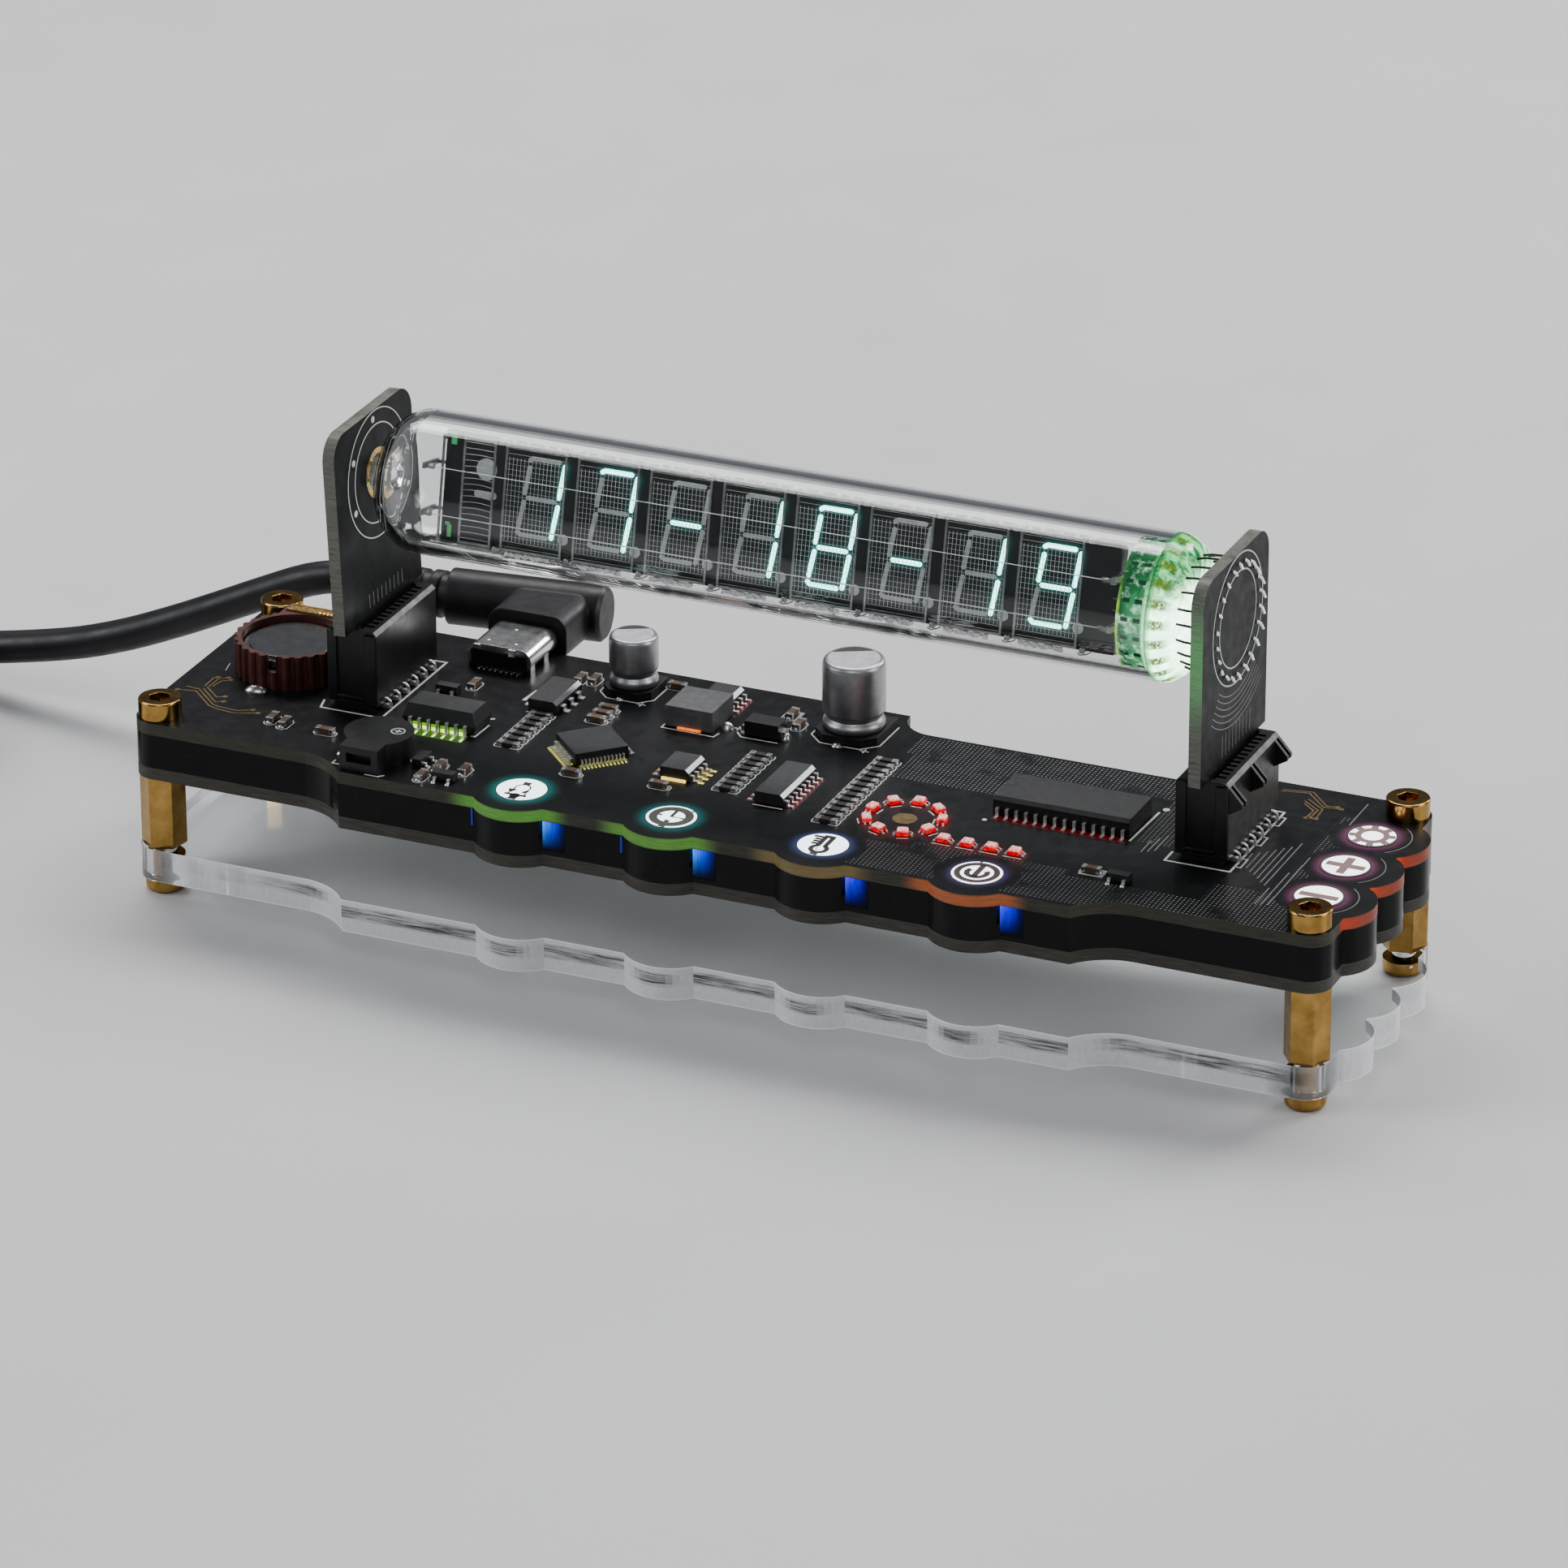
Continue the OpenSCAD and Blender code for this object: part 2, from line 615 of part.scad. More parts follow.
module cable_tie() color([0.10, 0.10, 0.10])
    translate([coil_x, coil_y, 0]) rotate([0, 0, 215]) difference() {
        box(coil_r - 16.4, coil_r + 3.3, -2, 2, 0, coil_z + 9.9);
        box(coil_r - 15.8, coil_r + 2.7, -3, 3, coil_z - 0.05, coil_z + 9.3);
    }

module cable_tail() color([0.04, 0.04, 0.04])
    sweep(tail_route, cable_d / 2, 10);

module usb_a_body() color([0.05, 0.05, 0.05]) {
    translate([plug_x, plug_y, 4.1]) rotate([90, 0, 0]) {
        cylinder(r1 = 2.7, r2 = 3.6, h = 9);
        translate([0, 0, 9]) linear_extrude(20) {
            square([16, 5.8], center = true);
            square([13.8, 8.2], center = true);
            for (x = [-1, 1], z = [-1, 1])
                translate([x * 6.9, z * 3]) circle(1.1);
        }
    }
}

module usb_a_shell() color([0.78, 0.78, 0.77])
    translate([plug_x, plug_y - 29, 4.1]) rotate([90, 0, 0])
        linear_extrude(12) difference() {
            square([12, 4.5], center = true);
            square([11.4, 3.9], center = true);
        }

module usb_a_tongue() color([0.9, 0.9, 0.9])
    translate([plug_x, plug_y - 29, 4.1 - 0.9]) rotate([90, 0, 0])
        linear_extrude(11) square([11.2, 1.9], center = true);

// ---- battery and sounder ---------------------------------------------------

// round holder with a scalloped wall, open to the right, and a notch in front
module coin_holder() color([0.28, 0.10, 0.08]) on_board()
    translate([cell_x, cell_y, 0]) difference() {
        linear_extrude(holder_h) {
            circle(7.1);
            for (i = [0:27]) rotate(360 * (i + 0.5) / 28)
                translate([6.95, 0]) circle(0.55, $fn = 24);
            translate([-4.8, 5]) square([7.9, 3.4]);
        }
        translate([0, 0, cell_z]) cylinder(d = cell_d + 0.5, h = 5);
        box(3.8, 9, -2.9, 3.2, cell_z, 6);
        box(-0.2, 1.2, -9, -5, cell_z + 0.6, 6);
    }

// spring strip along the back of the holder, with a soldered leg
module holder_clip() color([0.85, 0.68, 0.32]) on_board()
    translate([cell_x, cell_y, 0]) {
        box(-4.3, 4.4, 6.6, 8.3, holder_h, holder_h + 0.3);
        box(3.3, 4.4, 7.7, 8.3, 0, holder_h + 0.1);
        box(3.3, 4.4, 7.7, 9.8, 0, 0.4);
    }

module coin_cell() color([0.80, 0.80, 0.79]) on_board()
    translate([cell_x, cell_y, cell_z]) {
        cylinder(d = cell_d, h = cell_t - 0.35);
        cylinder(d = cell_d - 1.4, h = cell_t);
    }

module buzzer() color([0.09, 0.09, 0.09]) on_board() difference() {
    translate([-46.3, -17, 0]) linear_extrude(3.3) {
        circle(4.4);
        translate([-2.6, -5.9]) square([5.2, 5.9]);
    }
    box(-48, -44.6, -24, -21.9, 1.2, 2.4);
}

// ---- parts soldered to the upper board -------------------------------------

module capacitor_cans() color([0.80, 0.81, 0.82]) on_board()
    for (c = caps) translate([c[0], c[1], 0]) rotate_extrude() {
        translate([0, 1]) square([c[2], c[3] - 1.4]);
        translate([0, 1]) square([c[2] - 0.4, c[3] - 1]);
        translate([c[2] - 0.4, c[3] - 0.4]) circle(0.4, $fn = 24);
    }

// square feet with two cut corners
module capacitor_feet() color([0.05, 0.05, 0.05]) on_board()
    for (c = caps) let (h = c[4] / 2, k = c[4] * 0.2)
        translate([c[0], c[1], 0]) linear_extrude(1)
            polygon([[-h, -h + k], [-h + k, -h], [h - k, -h], [h, -h + k],
                     [h, h], [-h, h]]);

module inductor() color([0.36, 0.36, 0.37]) on_board()
    translate([-14.15, 8.35, 0]) box(-3.25, 3.25, -3.25, 3.25, 0.05, 2.85);

module diode() color([0.08, 0.08, 0.08]) on_board()
    translate([-4.7, 7.5, 0]) box(-2.3, 2.3, -1.35, 1.35, 0.25, 2.1);

module processor() color([0.07, 0.07, 0.075]) on_board()
    translate([mcu[0], mcu[1], 0.1]) rotate([0, 0, mcu[6]])
        linear_extrude(mcu[3]) square(mcu[2], center = true);

// body of a chip with a sloping edge along one long side
module chip_body(c) translate([c[0], c[1], 0.12]) rotate([0, 0, c[7]])
    rotate([90, 0, 90]) linear_extrude(c[2], center = true)
        polygon([[-c[3] / 2, 0], [c[3] / 2, 0], [c[3] / 2, c[4]],
                 [-c[3] / 2 + 0.5, c[4]], [-c[3] / 2, c[4] - 0.45]]);

module driver_chip() color([0.07, 0.07, 0.075]) on_board() chip_body(driver);

// body that is widest at the height of its leads and narrows both ways
module drafted_body(c) {
    level = [[0.2, 0.3, 0.25], [0.43 * c[4], 0, 0], [c[4], 0.6, 0.55]];
    pts = [for (v = level, q = [[-1, -1], [1, -1], [1, 1], [-1, 1]])
        [c[0] + q[0] * (c[2] / 2 - v[1]), c[1] + q[1] * (c[3] / 2 - v[2]),
         v[0]]];
    polyhedron(pts, concat([[0, 1, 2, 3], [11, 10, 9, 8]],
        [for (k = [0, 4], i = [0:3])
            [k + i, k + 4 + i, k + 4 + (i + 1) % 4, k + (i + 1) % 4]]));
}

module small_chips() color([0.07, 0.07, 0.075]) on_board() {
    drafted_body(rtc);
    for (c = soic) chip_body(c);
    for (t = sots) translate([t[0], t[1], 0.1]) rotate([0, 0, t[2]])
        box(-1.45, 1.45, -0.65, 0.65, 0, 1);
}

// one bent lead: runs out along +X, down, and along the board
module gull(w, h, out) rotate([90, 0, 0]) linear_extrude(w, center = true)
    polygon([[0, h], [0, h + 0.2], [0.5, h + 0.2], [0.5, 0.2], [out, 0.2],
             [out, 0], [0.3, 0], [0.3, h]]);

module leads(c) translate([c[0], c[1], 0]) rotate([0, 0, c[7]])
    for (s = [-1, 1], i = [0:c[5] - 1])
        translate([(i - (c[5] - 1) / 2) * c[6], s * c[3] / 2, 0])
            rotate([0, 0, s * 90])
                gull(c[6] > 2 ? 0.8 : 0.42, c[4] * 0.42, 1.1);

module chip_leads() color([0.75, 0.75, 0.74]) on_board() {
    for (c = concat(soic, [rtc, driver])) leads(c);
    for (t = sots) translate([t[0], t[1], 0]) rotate([0, 0, t[2]]) {
        for (x = [-0.95, 0.95]) translate([x, -0.65, 0]) rotate([0, 0, -90])
            gull(0.4, 0.4, 0.75);
        translate([0, 0.65, 0]) rotate([0, 0, 90]) gull(0.4, 0.4, 0.75);
    }
    translate([mcu[0], mcu[1], 0]) for (q = [0:3])
        rotate([0, 0, mcu[6] + 90 * q]) for (i = [0:mcu[4] - 1])
            translate([mcu[2] / 2, (i - (mcu[4] - 1) / 2) * mcu[5], 0])
                gull(0.22, 0.6, 1);
}

module chip_resistors() color([0.10, 0.09, 0.09]) on_board()
    for (r = rows_r, i = [0:r[3] - 1])
        translate([r[0], r[1] + (r[2] - r[1]) * i / (r[3] - 1), 0])
            box(-0.75, 0.75, -0.45, 0.45, 0, 0.5);

module chip_capacitors() color([0.45, 0.32, 0.22]) on_board()
    for (c = lone_c) translate([c[0], c[1], 0]) rotate([0, 0, c[2]])
        box(-0.7, 0.7, -0.5, 0.5, 0, 0.8);

// metal ends of the resistors, the capacitors, the coil and the diode
module chip_ends() color([0.78, 0.78, 0.77]) on_board() {
    for (r = rows_r, i = [0:r[3] - 1], s = [-1, 1])
        translate([r[0] + s * 1.1, r[1] + (r[2] - r[1]) * i / (r[3] - 1), 0])
            box(-0.35, 0.35, -0.45, 0.45, 0, 0.52);
    for (c = lone_c, s = [-1, 1]) translate([c[0], c[1], 0])
        rotate([0, 0, c[2]]) translate([s * 0.95, 0, 0])
            box(-0.25, 0.25, -0.5, 0.5, 0, 0.8);
    for (s = [-1, 1]) translate([-4.7 + s * 2.6, 7.5, 0])
        box(-0.3, 0.3, -0.75, 0.75, 0, 1.1);
}

module red_lamps() color([0.95, 0.75, 0.75]) on_board() {
    for (i = [0:ring_n - 1]) let (a = 360 * i / ring_n + 10)
        translate([ring_x + 4.7 * cos(a), ring_y + 4.7 * sin(a), 0])
            rotate([0, 0, a + 90]) box(-0.8, 0.8, -0.45, 0.45, 0, 0.65);
    for (x = tail_x) translate([x, tail_y, 0])
        box(-0.45, 0.45, -0.8, 0.8, 0, 0.65);
}

// ---- drawing ----------------------------------------------------------------

foot_screws();
base_plate();
standoffs();
lower_board();
spacer_frame();
window_lamps();
main_board();
top_screws();
touch_pads();
left_socket();
right_socket();
socket_contacts();
left_card();
right_card();
tube_glass();
tube_base();
tube_pins();
anode_plate();
lit_segments();
dark_segments();
grid_frames();
filament_wires();
filament_supports();
end_wire();
base_lamp();
usb_receptacle();
usb_tongue();
usb_plug_tip();
usb_plug_body();
strain_relief();
cable();
cable_coil();
cable_tie();
cable_tail();
usb_a_body();
usb_a_shell();
usb_a_tongue();
coin_holder();
holder_clip();
coin_cell();
buzzer();
capacitor_cans();
capacitor_feet();
inductor();
diode();
processor();
driver_chip();
small_chips();
chip_leads();
chip_resistors();
chip_capacitors();
chip_ends();
red_lamps();
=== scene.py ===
"""Looks of a desk clock with a vacuum fluorescent tube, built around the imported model."""

import math

import bmesh
import bpy
from mathutils import Matrix, Vector


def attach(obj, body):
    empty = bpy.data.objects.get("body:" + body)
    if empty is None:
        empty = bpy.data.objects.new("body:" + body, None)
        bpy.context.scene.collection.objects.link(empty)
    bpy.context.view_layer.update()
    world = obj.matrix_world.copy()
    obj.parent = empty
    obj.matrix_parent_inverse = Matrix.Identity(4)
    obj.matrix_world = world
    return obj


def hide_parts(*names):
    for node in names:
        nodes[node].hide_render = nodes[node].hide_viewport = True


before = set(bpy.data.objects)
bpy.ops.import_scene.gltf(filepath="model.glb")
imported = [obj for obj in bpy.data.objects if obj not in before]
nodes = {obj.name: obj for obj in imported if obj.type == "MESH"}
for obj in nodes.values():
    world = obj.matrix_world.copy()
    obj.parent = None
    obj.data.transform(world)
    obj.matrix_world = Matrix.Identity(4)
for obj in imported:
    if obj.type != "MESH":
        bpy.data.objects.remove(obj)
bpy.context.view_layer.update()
scene = bpy.context.scene

# Places are in millimetres from the middle of the upper board's top face,
# as in the part's source; OFF moves them into the row frame.
OFF = (-1.2, 2.85, 23.9)


def B(x, y, z):
    return ((x + OFF[0]) / 1000, (y + OFF[1]) / 1000, (z + OFF[2]) / 1000)


# ---- camera ----------------------------------------------------------------


def make_camera():
    az, el, roll = (math.radians(a) for a in (23.85464, 24.61776, -0.17433))
    right = Vector((math.cos(az), math.sin(az), 0))
    ahead = Vector((-math.sin(az) * math.cos(el), math.cos(az) * math.cos(el), -math.sin(el)))
    up = right.cross(ahead)
    x = math.cos(roll) * right + math.sin(roll) * up
    y = -math.sin(roll) * right + math.cos(roll) * up
    z = -ahead
    data = bpy.data.cameras.new("camera")
    data.sensor_width = 36
    data.lens = 196.45
    data.clip_start, data.clip_end = 0.05, 30
    ob = bpy.data.objects.new("camera", data)
    scene.collection.objects.link(ob)
    ob.matrix_world = Matrix((
        (x.x, y.x, z.x, 0.3900988), (x.y, y.y, z.y, -0.8795304),
        (x.z, y.z, z.z, 0.4634498), (0, 0, 0, 1)))
    scene.camera = ob


make_camera()

# ---- the lead: one line from the plug to the far plug ------------------------

ROUTE = [(-71, 31, 25.5), (-75, 31, 25.5), (-80, 31, 24.2), (-86, 31, 21.5),
         (-93, 31, 18.1), (-100, 31, 14.8), (-107, 31, 11.8), (-114, 31, 9.4),
         (-121, 31.2, 7.6), (-128, 31.6, 6), (-135, 32.3, 4.4),
         (-142, 33.2, 3.2), (-148, 33.8, 2.8), (-154, 34, 2.7)]
TAIL = [(-154, 34, 7.3), (-161, 34, 7), (-168, 34, 6.2), (-174, 34, 5.3),
        (-180, 33.8, 4.5), (-186, 32, 4.1), (-191, 28.5, 4.1),
        (-194.5, 23, 4.1), (-196, 17, 4.1), (-196, 11, 4.1)]
COIL = (-154, 4)


def smooth_line(points, steps):
    """A curve through the points, with that many steps between neighbours."""
    p = [Vector(q) for q in points]
    p = [2 * p[0] - p[1]] + p + [2 * p[-1] - p[-2]]
    out = []
    for i in range(1, len(p) - 2):
        a, b, c, d = p[i - 1:i + 3]
        for k in range(steps):
            t = k / steps
            out.append(0.5 * (2 * b + (c - a) * t + (2 * a - 5 * b + 4 * c - d) * t * t
                              + (3 * b - a - 3 * c + d) * t ** 3))
    return out + [p[-2]]


def coil_line():
    out = []
    for deg in range(100, 2250, 10):
        turns = (deg - 90) / 360
        if deg <= 1125:
            r, z = 30 - 4.6 * turns, 2.7
        elif deg < 1215:
            t = (deg - 1125) / 90
            r, z = 16.775, 2.7 + 4.6 * t * t * (3 - 2 * t)
        else:
            r, z = 16.775 + 4.6 * (deg - 1215) / 360, 7.3
        a = math.radians(deg)
        out.append(Vector((COIL[0] + r * math.cos(a), COIL[1] + r * math.sin(a), z)))
    return out


lead_line = [p / 1000 for p in smooth_line(ROUTE, 3) + coil_line() + smooth_line(TAIL, 3)]


def make_lead(line, r=0.0022, n=20):
    verts, faces, side = [], [], None
    for i, q in enumerate(line):
        t = (line[min(i + 1, len(line) - 1)] - line[max(i - 1, 0)]).normalized()
        side = t.orthogonal() if side is None else side
        side = (side - t * side.dot(t)).normalized()
        other = t.cross(side)
        verts += [q + r * (math.cos(2 * math.pi * k / n) * side + math.sin(2 * math.pi * k / n) * other)
                  for k in range(n)]
    for i in range(len(line) - 1):
        faces += [(i * n + k, i * n + (k + 1) % n, (i + 1) * n + (k + 1) % n, (i + 1) * n + k) for k in range(n)]
    last = (len(line) - 1) * n
    faces += [tuple(range(n))[::-1], tuple(last + k for k in range(n))]
    mesh = bpy.data.meshes.new("lead_cable")
    mesh.from_pydata([tuple(v) for v in verts], [], faces)
    mesh.polygons.foreach_set("use_smooth", [True] * len(faces))
    mesh.set_sharp_from_angle(angle=math.radians(50))
    ob = bpy.data.objects.new("lead_cable", mesh)
    scene.collection.objects.link(ob)
    return ob


def make_tie():
    """Strap pulled tight round the coil, with its lock on the outer side."""
    a = math.radians(215)
    loop = [(17.2, 0.32), (28.6, 0.32), (30.2, 0.75), (31.0, 1.9), (31.0, 3.6), (30.3, 5.6), (29.75, 7.6), (28.9, 9.15),
            (27.4, 9.75), (17.6, 9.75), (16.0, 9.15), (15.25, 7.6), (15.2, 5.0), (15.2, 2.4), (15.7, 0.9)]
    loop = smooth_line(loop + loop[:1], 4)[:-1]
    n = len(loop)

    def at(r, z, w):
        return ((COIL[0] + r * math.cos(a) - w * math.sin(a)) / 1000, (COIL[1] + r * math.sin(a) + w * math.cos(a)) / 1000,
                z / 1000)
    verts, faces = [], []
    for i, q in enumerate(loop):
        t = (loop[(i + 1) % n] - loop[i - 1]).normalized() * 0.27
        for out, w in ((-1, -2), (1, -2), (1, 2), (-1, 2)):
            verts.append(at(q.x + out * t.y, q.y - out * t.x, w))
        j = (i + 1) % n
        faces += [(4 * i + k, 4 * i + (k + 1) % 4, 4 * j + (k + 1) % 4, 4 * j + k) for k in range(4)]
    k = len(verts)
    for z, c in ((1.6, 0.5), (2.1, 0.0), (4.6, 0.0), (5.1, 0.5)):
        verts += [at(r, z, w) for r, w in ((31.1, -2.7 + c), (32.9 - c, -2.7 + c), (32.9 - c, 2.7 - c), (31.1, 2.7 - c))]
    faces += [(k + 3, k + 2, k + 1, k), (k + 12, k + 13, k + 14, k + 15)]
    for i in range(3):
        b = k + 4 * i
        faces += [(b + m, b + (m + 1) % 4, b + 4 + (m + 1) % 4, b + 4 + m) for m in range(4)]
    mesh = bpy.data.meshes.new("coil_tie")
    mesh.from_pydata(verts, [], faces)
    bm = bmesh.new()
    bm.from_mesh(mesh)
    bmesh.ops.recalc_face_normals(bm, faces=bm.faces)
    bm.to_mesh(mesh)
    bm.free()
    mesh.polygons.foreach_set("use_smooth", [True] * len(faces))
    mesh.set_sharp_from_angle(angle=math.radians(35))
    ob = bpy.data.objects.new("coil_tie", mesh)
    scene.collection.objects.link(ob)
    return ob


lead = make_lead(lead_line)
tie = make_tie()
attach(tie, "usb_lead")
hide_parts("cable_tie")
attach(lead, "usb_lead")
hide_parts("cable", "cable_coil", "cable_tail")

# ---- mesh building -----------------------------------------------------------


class Shape:
    """Closed forms gathered into one mesh, in millimetres in the board's frame."""

    def __init__(self):
        self.v, self.f, self.m, self.s = [], [], [], []

    def add(self, verts, faces, mat=0, smooth=False, to=None):
        k = len(self.v)
        self.v += [to(*p) if to else tuple(p) for p in verts]
        for f in faces:
            self.f.append([i + k for i in f])
            self.m.append(mat)
            self.s.append(smooth)

    def prism(self, outline, z0, z1, mat=0, to=None, smooth=False):
        n = len(outline)
        self.add([(*p, z0) for p in outline] + [(*p, z1) for p in outline],
                 [tuple(range(n))[::-1], tuple(range(n, 2 * n))]
                 + [(i, (i + 1) % n, n + (i + 1) % n, n + i) for i in range(n)],
                 mat, smooth, to)

    def block(self, x0, x1, y0, y1, z0, z1, cut=0.0, mat=0, to=None):
        """A box whose upright edges and top edges are cut off by that much."""
        if cut <= 0:
            self.prism([(x0, y0), (x1, y0), (x1, y1), (x0, y1)], z0, z1, mat, to)
            return
        c = cut

        def ring(i):
            return [(x0 + i + c, y0 + i), (x1 - i - c, y0 + i), (x1 - i, y0 + i + c), (x1 - i, y1 - i - c),
                    (x1 - i - c, y1 - i), (x0 + i + c, y1 - i), (x0 + i, y1 - i - c), (x0 + i, y0 + i + c)]
        low, high = ring(0), ring(c)
        verts = [(*p, z0) for p in low] + [(*p, z1 - c) for p in low] + [(*p, z1) for p in high]
        faces = [tuple(range(8))[::-1], tuple(range(16, 24))]
        for k in (0, 8):
            faces += [(k + i, k + (i + 1) % 8, k + 8 + (i + 1) % 8, k + 8 + i) for i in range(8)]
        self.add(verts, faces, mat, False, to)

    def ribbon(self, pts, w, z0, z1, closed=False, mat=0, to=None):
        """A flat strip along a line."""
        p = [Vector((q[0], q[1])) for q in pts]
        n = len(p)
        verts = []
        for i in range(n):
            before = (p[i] - p[i - 1]).normalized() if closed or i > 0 else None
            after = (p[(i + 1) % n] - p[i]).normalized() if closed or i < n - 1 else None
            before = after if before is None else before
            after = before if after is None else after
            t = (before + after).normalized()
            side = Vector((-t.y, t.x))
            k = w / 2 / max(0.4, side.dot(Vector((-before.y, before.x))))
            a, b = p[i] + side * k, p[i] - side * k
            verts += [(a.x, a.y, z0), (b.x, b.y, z0), (b.x, b.y, z1), (a.x, a.y, z1)]
        faces = []
        for i in range(n if closed else n - 1):
            j = (i + 1) % n
            faces += [(4 * i + q, 4 * i + (q + 1) % 4, 4 * j + (q + 1) % 4, 4 * j + q) for q in range(4)]
        if not closed:
            faces += [(3, 2, 1, 0), tuple(4 * (n - 1) + q for q in range(4))]
        self.add(verts, faces, mat, False, to)

    def ring(self, cx, cy, r, w, z0, z1, a0=0.0, a1=360.0, mat=0, to=None, n=56):
        closed = abs(a1 - a0) >= 360
        k = max(6, int(n * abs(a1 - a0) / 360))
        pts = [(cx + r * math.cos(math.radians(a0 + (a1 - a0) * i / k)),
                cy + r * math.sin(math.radians(a0 + (a1 - a0) * i / k))) for i in range(k if closed else k + 1)]
        self.ribbon(pts, w, z0, z1, closed, mat, to)

    def disc(self, cx, cy, r, z0, z1, mat=0, to=None, n=32):
        self.prism([(cx + r * math.cos(2 * math.pi * i / n), cy + r * math.sin(2 * math.pi * i / n))
                    for i in range(n)], z0, z1, mat, to)

    def tube(self, pts, r, n=8, mat=0, to=None):
        """A round wire along a line of points; r is a number or one radius a point."""
        p = [Vector(to(*q) if to else q) for q in pts]
        rs = r if isinstance(r, (list, tuple)) else [r] * len(p)
        verts, side = [], None
        for i, q in enumerate(p):
            t = (p[min(i + 1, len(p) - 1)] - p[max(i - 1, 0)]).normalized()
            if side is None:
                side = t.orthogonal().normalized()
            side = (side - t * side.dot(t)).normalized()
            other = t.cross(side)
            verts += [q + rs[i] * (math.cos(2 * math.pi * k / n) * side + math.sin(2 * math.pi * k / n) * other)
                      for k in range(n)]
        faces = [(i * n + k, i * n + (k + 1) % n, (i + 1) * n + (k + 1) % n, (i + 1) * n + k)
                 for i in range(len(p) - 1) for k in range(n)]
        faces += [tuple(range(n))[::-1], tuple((len(p) - 1) * n + k for k in range(n))]
        self.add([tuple(v) for v in verts], faces, mat, True)

    def revolve(self, profile, cx, cy, n=64, mat=0, to=None):
        """Turns a line of (radius, height) about an upright axis; both ends lie on the axis."""
        inner = profile[1:-1]
        verts = [(cx, cy, profile[0][1])]
        for r, z in inner:
            verts += [(cx + r * math.cos(2 * math.pi * k / n), cy + r * math.sin(2 * math.pi * k / n), z)
                      for k in range(n)]
        verts.append((cx, cy, profile[-1][1]))
        last = len(verts) - 1
        faces = [(0, 1 + (k + 1) % n, 1 + k) for k in range(n)]
        for i in range(len(inner) - 1):
            a, b = 1 + i * n, 1 + (i + 1) * n
            faces += [(a + k, a + (k + 1) % n, b + (k + 1) % n, b + k) for k in range(n)]
        a = 1 + (len(inner) - 1) * n
        faces += [(a + k, a + (k + 1) % n, last) for k in range(n)]
        self.add(verts, faces, mat, True, to)

    def dome(self, cx, cy, z, rx, ry, h, turn=0.0, mat=0, n=20, rings=6, to=None):
        """A soldered bead: half an egg with a spread foot, lying on a face."""
        c, s = math.cos(math.radians(turn)), math.sin(math.radians(turn))
        rows = [(1.0, -0.03)] + [(math.cos(a) * (1 - 0.12 * math.sin(2 * a)), math.sin(a))
                                 for a in (math.pi / 2 * i / rings for i in range(rings))]
        verts = []
        for r, up in rows:
            for k in range(n):
                a = 2 * math.pi * k / n
                x, y = rx * r * math.cos(a), ry * r * math.sin(a)
                verts.append((cx + c * x - s * y, cy + s * x + c * y, z + h * up))
        verts.append((cx, cy, z + h))
        faces = [tuple(range(n))[::-1]]
        for i in range(len(rows) - 1):
            faces += [(i * n + k, i * n + (k + 1) % n, (i + 1) * n + (k + 1) % n, (i + 1) * n + k) for k in range(n)]
        top = (len(rows) - 1) * n
        faces += [(top + k, top + (k + 1) % n, len(verts) - 1) for k in range(n)]
        self.add(verts, faces, mat, True, to)

    def build(self, name, looks, body, slot=None, replaces=(), angle=32):
        mesh = bpy.data.meshes.new(name)
        mesh.from_pydata([B(*p) for p in self.v], [], self.f)
        for look in looks if isinstance(looks, (list, tuple)) else [looks]:
            mesh.materials.append(look)
        mesh.polygons.foreach_set("material_index", self.m)
        mesh.polygons.foreach_set("use_smooth", self.s)
        bm = bmesh.new()
        bm.from_mesh(mesh)
        bmesh.ops.recalc_face_normals(bm, faces=bm.faces)
        bm.to_mesh(mesh)
        bm.free()
        mesh.set_sharp_from_angle(angle=math.radians(angle))
        mesh.update()
        ob = bpy.data.objects.new(name, mesh)
        scene.collection.objects.link(ob)
        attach(ob, body)
        if replaces:
            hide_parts(*replaces)
        return ob


# ---- materials ---------------------------------------------------------------


